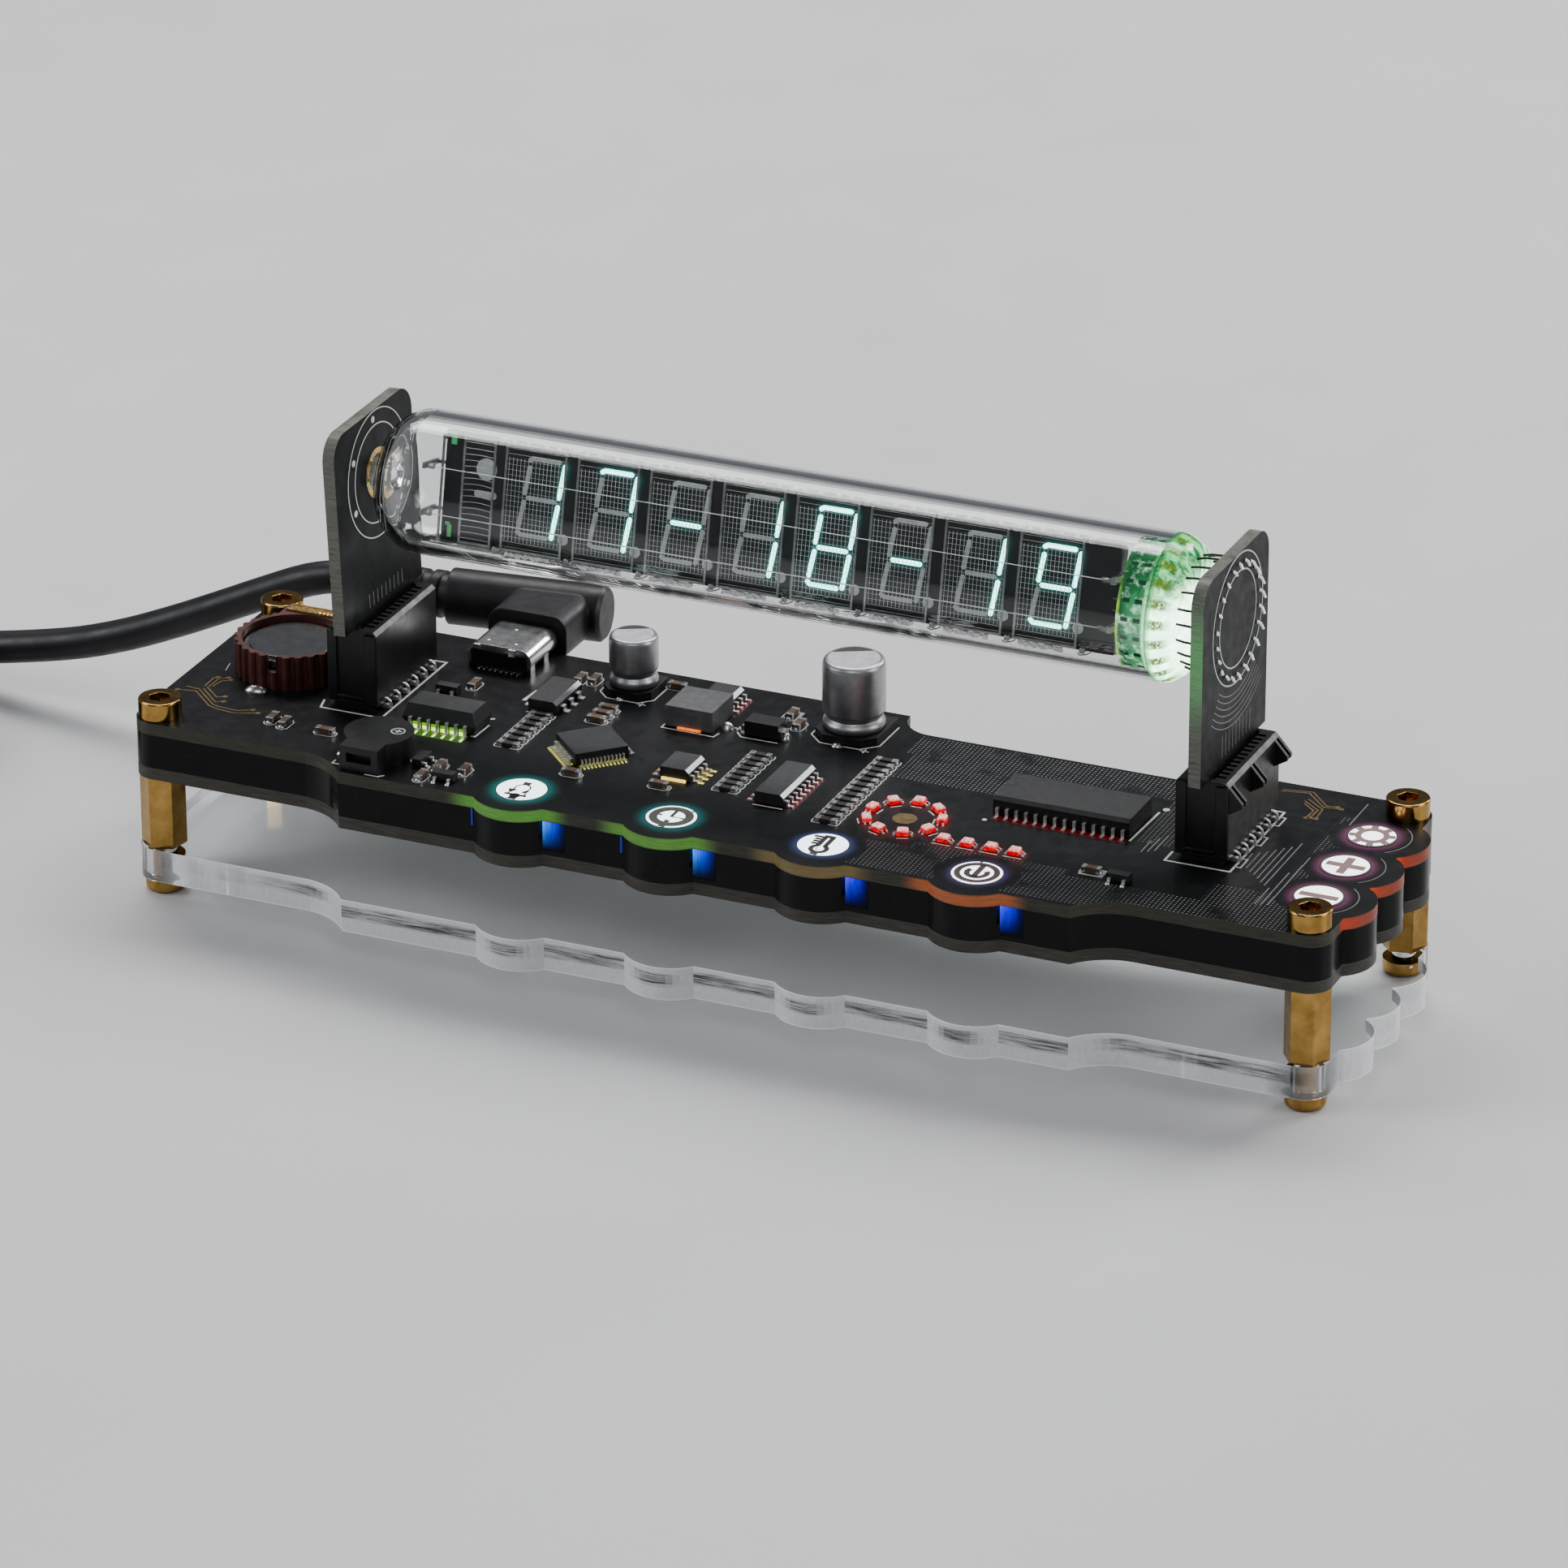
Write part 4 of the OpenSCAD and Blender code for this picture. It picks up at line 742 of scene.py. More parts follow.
def pad_look():
    k = Look("pad_light")
    flat = k.scaled(1, 1, 0)
    tint = None
    for (cx, cy), col in zip(PADS + SIDES, [(0.80, 1.0, 0.99), (0.84, 1.0, 0.99), (0.90, 0.94, 1.0),
                                            (1.0, 0.97, 1.0)] + [(1.0, 0.95, 0.98)] * 3):
        one = k.mix(k.rng(k.near(cx, cy, flat), 3.0, 3.6, 1.0, 0.0), (0, 0, 0), col)
        tint = one if tint is None else k.mix(1.0, tint, one, "ADD")
    uneven = k.ramp(k.noise(0.5, 3, 0.5), [(0.3, (0.90, 0.90, 0.90)), (0.7, (1, 1, 1))])
    glow = k.mix(1.0, tint, uneven, "MULTIPLY")
    return k.done(k.shader(Base_Color=(0.75, 0.76, 0.77), Roughness=0.45, Emission_Color=glow, Emission_Strength=1.7,
                           Normal=k.bump(k.noise(6, 3, 0.5), 0.12, 0.02)))


def window_look():
    """Blue light on the front of the black frame, strongest at the top near one upright edge."""
    k = Look("blue_window")
    x, y, z = k.xyz()
    u = k.math("MULTIPLY", k.math("FRACT", k.math("DIVIDE", k.math("SUBTRACT", x, -20.95), 20.24)), 20.24)
    azure = k.ramp(k.rng(u, 0.0, 3.2), [(0.0, (0.02, 0.10, 0.5)), (0.05, (0.10, 0.36, 1.0)), (0.22, (0.035, 0.18, 1.0)),
                                        (0.55, (0.012, 0.06, 0.62)), (0.80, (0.003, 0.012, 0.18)), (1.0, (0, 0, 0))])
    deep = k.ramp(k.rng(u, 0.0, 3.2), [(0.0, (0.02, 0.02, 0.5)), (0.05, (0.08, 0.10, 1.0)), (0.22, (0.025, 0.025, 1.0)),
                                       (0.55, (0.010, 0.006, 0.55)), (0.80, (0.003, 0.002, 0.15)), (1.0, (0, 0, 0))])
    tone = k.mix(k.math("GREATER_THAN", x, 5.0), azure, deep)
    fade = k.math("POWER", k.rng(z, -5.4, -1.9, 0.0, 1.0), 1.4)
    cloudy = k.rng(k.noise(1.0, 4, 0.7, k.scaled(4.0, 1.0, 0.5)), 0.3, 0.7, 0.55, 1.15)
    glow = k.mix(k.math("MULTIPLY", fade, cloudy), (0, 0, 0), tone)
    return k.done(k.shader(Base_Color=(0.004, 0.004, 0.005), Roughness=0.16, Specular_IOR_Level=0.15,
                           Emission_Color=glow, Emission_Strength=1.3,
                           Normal=k.bump(k.noise(1.0, 4, 0.6, k.scaled(3.2, 3.2, 0.1)), 0.10, 0.03)))


def card_look():
    k = Look("end_card")
    n = k.new("SeparateXYZ")
    k.put(n.inputs[0], k.new("NewGeometry").outputs["True Normal"])
    face = k.math("GREATER_THAN", k.math("ABSOLUTE", n.outputs[0]), 0.7)
    base = k.ramp(k.noise(0.30, 5, 0.6), [(0.3, (0.010, 0.0104, 0.0108)), (0.7, (0.0160, 0.0165, 0.0170))])
    edge = fibre(k, (0.085, 0.088, 0.076), (0.24, 0.243, 0.215))
    notch = k.noise(1.0, 2, 0.5, k.scaled(0.2, 2.4, 2.4))
    edge = k.mix(k.rng(notch, 0.60, 0.72, 0.0, 0.55), edge, (0.045, 0.05, 0.045))
    rough = k.rng(k.noise(0.5, 4, 0.6), 0.3, 0.7, 0.30, 0.45)
    x, y, z = k.xyz()
    lit = k.math("MULTIPLY", k.math("GREATER_THAN", x, 50.0),
                 k.rng(k.math("ABSOLUTE", k.math("SUBTRACT", z, 27.0)), 1.0, 10.0, 1.0, 0.0, "SMOOTHSTEP"))
    lit = k.math("MULTIPLY", lit, k.math("SUBTRACT", 1.0, face))
    return k.done(k.shader(Base_Color=k.mix(face, edge, base), Roughness=rough, Specular_IOR_Level=0.12,
                           Normal=k.bump(k.noise(5, 4, 0.6), 0.12, 0.03),
                           Emission_Color=k.mix(lit, (0, 0, 0), (0.02, 0.14, 0.03)), Emission_Strength=1.0))


def lamp_body_look():
    """Small red lamps: deep red sides and a pale lit top."""
    k = Look("red_lamp")
    x, y, z = k.xyz()
    lit = k.rng(k.noise(2.2, 3, 0.6), 0.34, 0.62)
    side = k.mix(lit, (0.28, 0.002, 0.004), (0.85, 0.020, 0.022))
    top = k.mix(lit, (1.0, 0.16, 0.16), (1.0, 0.82, 0.80))
    tone = k.mix(k.rng(z, 0.52, 0.82), side, top)
    return k.done(k.shader(Base_Color=(0.16, 0.015, 0.015), Roughness=0.22, Emission_Color=tone,
                           Emission_Strength=1.0, Normal=k.bump(k.noise(5, 3, 0.5), 0.2, 0.03, k.soft_edge(0.10))))


def chip_look():
    """Moulded chip bodies: matt faces and a smooth slanted edge, painted lighter as a highlight."""
    k = Look("chip_mould")
    base = k.ramp(k.noise(0.8, 4, 0.6), [(0.3, (0.012, 0.012, 0.013)), (0.7, (0.024, 0.024, 0.026))])
    slant = k.math("MULTIPLY", k.math("GREATER_THAN", k.up(), 0.60), k.math("LESS_THAN", k.up(), 0.90))
    rough = k.mix(slant, k.ramp(k.noise(1.8, 5, 0.65), [(0.3, (0.42, 0.42, 0.42)), (0.7, (0.58, 0.58, 0.58))]),
                  (0.20, 0.20, 0.20))
    # the slanted edge's lighter colour is a painted highlight
    return k.done(k.shader(Base_Color=k.mix(slant, base, (0.16, 0.16, 0.17)), Roughness=rough, Specular_IOR_Level=0.7,
                           Normal=k.bump(k.noise(12, 4, 0.6), 0.35, 0.02, k.soft_edge(0.05))))


def anode_look():
    k = Look("anode_plate")
    base = k.ramp(k.noise(0.5, 4, 0.6), [(0.3, (0.0075, 0.0085, 0.0085)), (0.7, (0.0135, 0.0150, 0.0150))])
    return k.done(k.shader(Base_Color=base, Roughness=k.rng(k.noise(1.2, 4, 0.6), 0.3, 0.7, 0.35, 0.55),
                           Normal=k.bump(k.noise(6, 4, 0.6), 0.2, 0.02)))


def cell_look():
    """Turned steel of the coin cell, its colour painted darker for what it mirrors."""
    k = Look("cell_steel")
    rings = k.noise(1.0, 3, 0.6, k.scaled(0.0, 0.0, 1.0))
    d = k.near(-68.1, 2.6)
    turned = k.noise(14.0, 2, 0.5, None)
    lathe = k.math("FRACT", k.math("MULTIPLY", d, 4.0))
    base = k.ramp(k.noise(0.5, 4, 0.6), [(0.3, (0.30, 0.30, 0.31)), (0.7, (0.42, 0.42, 0.43))])
    height = k.math("ADD", k.math("MULTIPLY", lathe, 0.5), k.math("MULTIPLY", turned, 0.5))
    return k.done(k.shader(Base_Color=base, Metallic=1.0, Roughness=k.rng(turned, 0.3, 0.7, 0.19, 0.23),
                           Normal=k.bump(k.math("ADD", height, rings), 0.03, 0.01, k.soft_edge(0.15))))


upper_board = board_look()
lower_board = lower_look()
black_acrylic = spacer_look()
clear_acrylic = acrylic_look()
tube_glass = tube_look()
tube_foot = tube_base_look()
tube_pin = pin_look()
pad_light = pad_look()
chip_mould = chip_look()
blue_window = window_look()
end_card = card_look()
red_lamp = lamp_body_look()
anode_dark = anode_look()
cell_steel = cell_look()
digit_light = glowing("digit_light", [(0.3, (0.42, 1.0, 0.90)), (0.7, (0.60, 1.0, 0.95))], 2.9, (0.3, 0.7, 0.65))
halo_near = glowing("halo_near", [(0.3, (0.006, 0.085, 0.075)), (0.7, (0.010, 0.12, 0.105))], 1.0, (0.01, 0.02, 0.02))
halo_mid = glowing("halo_mid", [(0.3, (0.003, 0.034, 0.030)), (0.7, (0.005, 0.050, 0.045))], 1.0, (0.01, 0.015, 0.015))
halo_far = glowing("halo_far", [(0.3, (0.001, 0.010, 0.009)), (0.7, (0.002, 0.018, 0.016))], 1.0, (0.01, 0.013, 0.013))
# the glowing looks below that chip_lights uses paint in light on the chips, their leads and the board round them
white_green = glowing("white_green", [(0.3, (0.44, 0.80, 0.04)), (0.62, (0.92, 1.0, 0.50))], 1.6, (0.1, 0.2, 0.03), 2.2)
yellow_strip = glowing("yellow_strip", [(0.3, (0.95, 0.52, 0.03)), (0.62, (1.0, 0.86, 0.34))], 1.3, (0.3, 0.2, 0.05))
yellow_lead_glow = glowing("yellow_lead_glow", [(0.3, (0.50, 0.44, 0.03)), (0.62, (0.92, 0.84, 0.20))], 0.85, (0.3, 0.26, 0.08), 2.5)
deep_red = glowing("deep_red", [(0.34, (0.02, 0.0, 0.0)), (0.64, (0.34, 0.008, 0.008))], 0.42, (0.02, 0.01, 0.01), 2.4)
blue_lamp = glowing("blue_lamp", [(0.3, (0.04, 0.12, 0.9)), (0.7, (0.15, 0.35, 1.0))], 3.0, (0.3, 0.4, 0.7))
blue_slit = glowing("blue_slit", [(0.3, (0.004, 0.02, 0.22)), (0.7, (0.01, 0.05, 0.45))], 0.5, (0.02, 0.03, 0.1))
green_lamp = glowing("green_lamp", [(0.3, (0.45, 1.0, 0.55)), (0.7, (0.70, 1.0, 0.75))], 6.0)
green_strip = glowing("green_strip", [(0.3, (0.08, 0.34, 0.01)), (0.62, (0.24, 0.66, 0.04))], 0.8, (0.05, 0.1, 0.02))
green_glow_wash = glowing("green_glow_wash", [(0.3, (0.015, 0.07, 0.003)), (0.62, (0.10, 0.28, 0.018))], 0.55, (0.02, 0.03, 0.02), 1.5)
lime_strip = glowing("lime_strip", [(0.3, (0.05, 0.06, 0.003)), (0.62, (0.26, 0.30, 0.035))], 0.55, (0.03, 0.03, 0.02), 2.0)
amber_strip = glowing("amber_strip", [(0.3, (0.95, 0.62, 0.08)), (0.62, (1.0, 0.85, 0.36))], 2.4)
amber_glow_wash = glowing("amber_glow_wash", [(0.3, (0.06, 0.035, 0.002)), (0.62, (0.40, 0.26, 0.03))], 0.55, (0.03, 0.02, 0.01), 1.8)
orange_strip = glowing("orange_strip", [(0.3, (0.85, 0.07, 0.004)), (0.62, (1.0, 0.30, 0.045))], 1.15, (0.2, 0.05, 0.02))
red_strip = glowing("red_strip", [(0.3, (0.10, 0.002, 0.002)), (0.62, (0.62, 0.022, 0.022))], 0.55, (0.02, 0.01, 0.01), 2.2)
green_bit = glowing("green_bit", [(0.3, (0.02, 0.16, 0.05)), (0.7, (0.06, 0.34, 0.12))], 0.5, (0.05, 0.2, 0.08))

for names, look in (
        ("foot_screws standoffs top_screws", brass), ("base_plate", clear_acrylic), ("lower_board", lower_board),
        ("spacer_frame", black_acrylic), ("window_lamps", blue_lamp), ("main_board", upper_board),
        ("touch_pads", pad_light), ("left_socket right_socket", socket_black), ("socket_contacts chip_leads", lead_tin),
        ("chip_ends", tin), ("left_card right_card", end_card), ("tube_glass", tube_glass), ("tube_base", tube_foot),
        ("tube_pins", tube_pin), ("anode_plate", anode_dark), ("lit_segments", digit_light),
        ("dark_segments", phosphor), ("grid_frames", frame_grey), ("filament_wires", wire_grey),
        ("filament_supports end_wire", frame_grey), ("base_lamp", green_lamp),
        ("usb_receptacle usb_plug_tip usb_a_shell", steel), ("usb_tongue buzzer diode", plastic),
        ("usb_plug_body strain_relief usb_a_body", moulded), ("cable_tie", plastic), ("usb_a_tongue", white_plastic),
        ("coin_holder", holder_brown), ("holder_clip", gold), ("coin_cell", cell_steel), ("capacitor_feet", plastic),
        ("inductor", ferrite), ("processor driver_chip", epoxy), ("small_chips", chip_mould), ("chip_resistors", resistor),
        ("chip_capacitors", ceramic), ("red_lamps", red_lamp), ("capacitor_cans", can_metal),
        ("cable cable_coil cable_tail", rubber)):
    for name in names.split():
        mesh = nodes[name].data
        mesh.materials.clear()
        mesh.materials.append(look)
lead.data.materials.append(rubber)
tie.data.materials.append(plastic)

# ---- marks on the boards -------------------------------------------------------

LOW, HIGH = -0.02, 0.03
ROWS = [(-32.8, -8.2, 1.5, 7), (-2.5, -9.5, 1.2, 8), (12.5, -13.1, 5.8, 13)]
LONE = [(-25.8, 2.8, 0), (-25.8, 4.6, 0), (-25.8, 6.4, 0), (-63.2, -13, 90), (-61.2, -13.6, 90), (-55.4, -13.9, 0),
        (-44.5, 6.5, 90), (-38.5, -21.2, 90), (-37.6, -17.7, 90), (-34.3, -17.6, 90), (47.7, -13.7, 0), (-32.9, 13.4, 90),
        (-31.1, 13.8, 90), (-20.7, 16.2, 0), (-21.9, -13, 0), (-10.4, -12, 0), (-3.9, 14, 90), (-1.8, 11.4, 90)]
# red lamps: place, turn, and the side of the white dash
LAMPS = [(21 + 4.7 * math.cos(math.radians(40 * i + 10)), -8.5 + 4.7 * math.sin(math.radians(40 * i + 10)), 40 * i + 100,
          1 if i < 5 else -1) for i in range(9)] + [(27.9 + 3.12 * i, -12.6, 0, -1) for i in range(4)]
SOTS = [(-46.8, 3.6, 0), (-40.4, -17.2, 90), (-35.6, -20.5, 0), (51.6, -14.6, 0)]


def silk_marks():
    s = Shape()

    def line(*pts, w=0.22, closed=False):
        s.ribbon(pts, w, LOW, HIGH, closed)

    # corner brackets round the card sockets
    line((-60.1, -4.7), (-59.5, -7.0), (-51.0, -7.0), (-51.0, 11.8), (-53.0, 11.7), w=0.3)
    line((54.5, -4.3), (54.5, -7.0), (62.95, -7.0), (62.95, 11.6), (61.4, 11.6), w=0.3)
    for y in (-5.4, 1.4, 7.6):
        line((62.95, y), (63.7, y), (63.7, y + 2.5), (62.95, y + 2.5), w=0.2)
    # capacitor feet, the coil and the diode
    for cx, cy, h in ((-25.6, 13.7, 3.75), (5.1, 12.7, 4.65)):
        k = h * 0.42
        line((cx - h, cy), (cx - h, cy - h + k), (cx - h + k, cy - h), (cx + h - k, cy - h), (cx + h, cy - h + k),
             (cx + h, cy + h * 0.75), w=0.2)
        px, py = cx + h * 0.75, cy - h - 0.25
        line((px - 0.6, py), (px + 0.6, py), w=0.18)
        line((px, py - 0.6), (px, py + 0.6), w=0.18)
    line((-17.6, 5.6), (-17.6, 4.45), (-10.4, 4.3), (-10.2, 5.6), w=0.22)
    line((-8.3, 6.9), (-7.3, 5.7), (-2.3, 5.7), w=0.2)
    line((-8.55, 7.3), (-8.55, 8.5), w=0.18)
    line((-9.1, 7.9), (-8.0, 7.9), w=0.18)
    # chips
    line((-38.33, -7.48), (-37.76, -7.5), (-37.63, -3.54), w=0.3)
    line((-38.34, -1.82), (-37.78, -1.58), w=0.4)
    line((48.6, -3.6), (48.9, 5.6), w=0.3)
    line((2.2, -12.0), (6.2, -12.0), w=0.22)
    line((-36.95, 5.0), (-36.6, 8.5), w=0.55)
    line((-35.2, 2.05), (-31.1, 2.05), w=0.2)
    line((46.4, -14.6), (49.3, -14.6), (49.3, -12.8), (46.4, -12.8), w=0.18, closed=True)
    line((-5.0, 12.7), (-2.9, 12.7), (-2.9, 15.4), (-5.0, 15.4), w=0.16, closed=True)
    s.disc(30.05, -4.9, 0.32, LOW, HIGH, n=16)
    s.disc(49.4, 6.6, 0.45, LOW, HIGH, n=20)
    s.disc(-47.9, -8.9, 0.26, LOW, HIGH, n=16)
    # rows of resistors: a common outline and one slot a resistor
    for x, y0, y1, n in ROWS:
        step = (y1 - y0) / (n - 1)
        for i in range(n):
            y = y0 + step * i
            for q in (-1, 1):
                line((x + q * 0.55, y - step * 0.46), (x + q * 1.62, y - step * 0.46), (x + q * 1.78, y - step * 0.2),
                     (x + q * 1.78, y + step * 0.2), (x + q * 1.62, y + step * 0.46), w=0.15)
    # outlines of the single chip capacitors
    for x, y, turn in LONE:
        a = math.radians(turn)
        c, q = math.cos(a), math.sin(a)
        pts = [(-1.0, -0.78), (1.0, -0.78), (1.5, -0.35), (1.5, 0.35), (1.0, 0.78), (-1.0, 0.78), (-1.5, 0.35), (-1.5, -0.35)]
        line(*[(x + c * u - q * v, y + q * u + c * v) for u, v in pts], w=0.15, closed=True)
    # small lamps
    for cx, cy, turn, front in LAMPS:
        a = math.radians(turn)
        c, q = math.cos(a), math.sin(a)
        half = 1.2 if turn == 0 else 0.72
        line((cx - half * c - front * 1.05 * q, cy - half * q + front * 1.05 * c),
             (cx + half * c - front * 1.05 * q, cy + half * q + front * 1.05 * c), w=0.2)
    # buzzer corners
    line((-50.6, -20.6), (-50.6, -21.6), (-49.6, -21.6), w=0.22)
    line((-45.4, -23.1), (-43.6, -23.1), (-43.0, -22.4), w=0.25)
    # battery corner and bottom marks on the left
    line((-75.7, -1.6), (-76.2, 0.6), w=0.12)
    return s.build("silk_marks", silk, "base", "pad_white")


def gold_traces():
    s = Shape()
    left = [[(-78.6, -9.3), (-76.2, -8.8), (-72.6, -12.2), (-71.3, -12.7), (-68.6, -13.0), (-65.9, -11.8)],
            [(-78.0, -7.9), (-76.1, -8.1), (-72.4, -11.6), (-71.5, -11.95), (-68.8, -12.2), (-66.9, -11.2)],
            [(-75.7, -7.7), (-72.4, -10.9), (-71.5, -10.35)],
            [(-75.5, -7.1), (-72.9, -9.5), (-72.0, -8.9)],
            [(-75.9, -7.0), (-76.0, -4.3), (-75.6, -3.9)],
            [(-75.3, -7.0), (-75.3, -4.5), (-74.3, -3.5)],
            [(-74.9, -6.7), (-74.7, -4.9), (-73.7, -4.0)]]
    right = [[(60.3, 17.4), (63.8, 18.1), (66.8, 14.9), (69.0, 15.2)],
             [(60.4, 17.9), (64.15, 18.55), (67.0, 15.4), (68.4, 15.6)],
             [(64.0, 15.8), (66.45, 13.85), (66.35, 11.4)],
             [(64.2, 15.1), (66.0, 13.5), (65.9, 11.2)],
             [(64.2, 16.5), (66.9, 14.3), (67.1, 11.4)]]
    for line in left + right:
        s.ribbon(line, 0.24, LOW, HIGH)
        s.disc(*line[-1], 0.36, LOW, HIGH + 0.004, n=18)
    s.disc(-78.6, -9.3, 0.34, LOW, HIGH + 0.004, n=18)
    s.disc(21, -8.5, 1.55, LOW, HIGH, n=40)
    return s.build("gold_traces", trace_gold, "base", "gold")


def track_lines():
    s = Shape()
    for x, y0, y1 in ((63.6, -3.8, -1.0), (64.35, -5.2, -0.4), (65.1, -6.0, 0.3), (65.85, -6.6, 1.1), (66.6, -7.4, 2.0),
                      (67.35, -8.3, 2.7), (68.1, -8.9, 4.1), (68.9, -14.2, -9.3), (69.6, -14.3, -4.4), (70.4, -13.9, 0.7),
                      (71.5, 11.3, 18.0), (51.0, -6.0, -2.5), (51.7, -5.6, -1.4), (52.4, -5.0, -0.4)):
        s.ribbon([(x, y0), (x, y1)], 0.17, LOW, HIGH - 0.005)
    for cx, cy in SIDES:
        s.ring(cx, cy, 4.85, 0.14, LOW, HIGH - 0.005, -52, 50)
    return s.build("track_lines", silk_faint, "base", "pad_white")


silk_marks()
gold_traces()
track_lines()

# ---- symbols on the touch pads ---------------------------------------------------


def pad_symbols():
    """Dark symbols on the lit pads; their stems reach the rim, as in a stencil."""
    s = Shape()
    lo, hi = 0.06, 0.11

    def line(c, *pts, w=0.2, mat=0):
        s.ribbon([(c[0] + x, c[1] + y) for x, y in pts], w, lo, hi, mat=mat)

    def ring(c, r, w, a0=0.0, a1=360.0, at=(0, 0), mat=0):
        s.ring(c[0] + at[0], c[1] + at[1], r, w, lo, hi, a0, a1, mat=mat)

    # a bell with its clapper
    c = PADS[0]
    line(c, (-1.50, -1.80), (1.45, -1.80), w=0.42)
    line(c, (-1.16, -1.65), (-1.0, -0.85), (-0.95, 0.35), w=0.18)
    line(c, (1.12, -1.65), (0.96, -0.85), (0.95, 0.35), w=0.18)
    ring(c, 0.95, 0.18, 0, 180, (0, 0.35))
    line(c, (-1.40, -0.36), (-1.04, -1.0), (-0.62, -0.30), w=0.40)
    line(c, (1.00, -0.28), (0.52, -0.95), w=0.42)
    line(c, (-0.50, 1.72), (0.44, 1.72), w=0.66)
    s.disc(c[0], c[1] - 2.05, 0.66, lo, hi, n=20)
    line(c, (0, -2.15), (-0.05, -3.12), w=1.05)
    # a clock face in a wide ring
    c = PADS[1]
    ring(c, 2.25, 1.06, mat=2)
    line(c, (0, -0.10), (0, 1.72), w=0.40)
    line(c, (0, 0), (1.30, -0.05), w=0.16)
    line(c, (-1.72, 0.02), (-1.20, 0.02), w=0.30)
    line(c, (1.30, -0.05), (1.72, -0.05), w=0.30)
    line(c, (0, -1.72), (0, -1.10), w=0.62, mat=2)
    line(c, (0, -2.77), (-0.05, -3.14), w=0.95, mat=2)
    line(c, (1.77, 2.12), (2.04, 2.44), w=0.26)
    # a thermometer with its scale
    c = PADS[2]
    ring(c, 0.98, 0.60, 117.4, 422.6, (0, -1.36))
    for x in (-0.46, 0.46):
        line(c, (x, -0.62), (x, 2.05), w=0.60)
    line(c, (-0.72, 2.26), (0.72, 2.26), w=0.66)
    ring(c, 0.32, 0.10, 100, 300, (-0.05, -1.36))
    for y, x in ((1.95, -1.75), (1.29, -1.38), (0.65, -1.37), (0.0, -1.35)):
        line(c, (-0.6, y), (x - 0.2, y), w=0.46)
    line(c, (-0.02, -2.64), (-0.08, -3.12), w=1.0, mat=3)
    # a ring round an open circle with a stroke into it
    c = PADS[3]
    ring(c, 2.44, 0.74, mat=3)
    ring(c, 1.25, 0.70, 148, 396, mat=3)
    line(c, (0, -1.25), (0, 2.30), w=0.74, mat=3)
    line(c, (-0.58, 2.82), (-0.66, 3.12), w=0.30)
    # minus, plus and brightness
    c = SIDES[0]
    line(c, (-2.45, 0), (2.45, 0), w=1.05, mat=1)
    c = SIDES[1]
    line(c, (-2.45, 0), (2.45, 0), w=1.05, mat=1)
    line(c, (0, -2.3), (0, -0.525), w=1.05, mat=1)
    line(c, (0, 0.525), (0, 2.3), w=1.05, mat=1)
    c = SIDES[2]
    ring(c, 1.75, 0.76, mat=1)
    for i in range(8):
        a = math.radians(45 * i + 12)
        line(c, (2.12 * math.cos(a), 2.12 * math.sin(a)), (2.85 * math.cos(a), 2.85 * math.sin(a)), w=0.85, mat=1)
    # a thin dark line round every pad
    for c in PADS:
        s.ring(c[0], c[1], 3.24, 0.20, -0.02, 0.035, mat=0)
    for c in SIDES:
        s.ring(c[0], c[1], 3.10, 0.36, -0.02, 0.105, mat=0)
    return s.build("pad_symbols", [dark_mark, brown_mark, grey_mark, umber_mark], "base", "black_board")


pad_symbols()


def window_panes():
    """Light guides in the notches at the front of the black frame, flush with it."""
    s = Shape()
    for x, _ in PADS:
        s.block(x + 4.72, x + 7.75, -23.63, -23.56, -5.5, -1.63)
        s.block(x + 4.75, x + 6.85, -23.57, -21.3, -3.95, -1.65)
    return s.build("window_panes", blue_window, "base", "blue_lamp")


def window_slits():
    """Narrow lines of blue light in the corners left of the lobes."""
    s = Shape()
    for x, _ in PADS[:2]:
        s.block(x - 4.98, x - 4.74, -23.67, -23.55, -3.9, -1.7)
    s.block(78.45, 78.85, -17.0, -16.7, -2.6, -1.7)
    return s.build("window_slits", blue_slit, "base", "blue_lamp")


window_slits()
window_panes()

# ---- parts on the board ------------------------------------------------------------


def capacitor_bodies():
    """Rolled aluminium cans with a groove above the crimped foot."""
    s = Shape()
    for cx, cy, r, top in ((-25.6, 13.7, 3.15, 7.7), (5.1, 12.7, 4.0, 10.2)):
        k = r / 4.0
        prof = [(0, 1.0), (r - 0.55 * k, 1.0), (r - 0.18 * k, 1.12), (r - 0.03 * k, 1.42), (r - 0.02 * k, 1.75),
                (r - 0.16 * k, 2.08), (r - 0.42 * k, 2.30), (r - 0.56 * k, 2.50), (r - 0.50 * k, 2.72),
                (r - 0.22 * k, 2.98), (r - 0.05 * k, 3.22), (r - 0.01, 3.55), (r - 0.01, top - 0.95 * k),
                (r - 0.06, top - 0.55 * k), (r - 0.20 * k, top - 0.25 * k), (r - 0.45 * k, top - 0.06 * k),
                (r - 0.72 * k, top - 0.005)]
        s.revolve(prof + [(r - 0.80 * k, top - 0.01), (0, top - 0.01)], cx, cy, 72)
        s.disc(cx, cy, r - 0.74 * k, top - 0.06, top - 0.002, mat=1, n=56)
        a0, a1 = math.radians(62), math.radians(172)
        rr = r - 0.76 * k
        arc = [(cx + rr * math.cos(a0 + (a1 - a0) * i / 24), cy + rr * math.sin(a0 + (a1 - a0) * i / 24)) for i in range(25)]
        s.prism(arc, top - 0.05, top, mat=2)
    return s.build("capacitor_bodies", [can_metal, can_top, dark_mark], "base", "can_aluminium", ("capacitor_cans",))


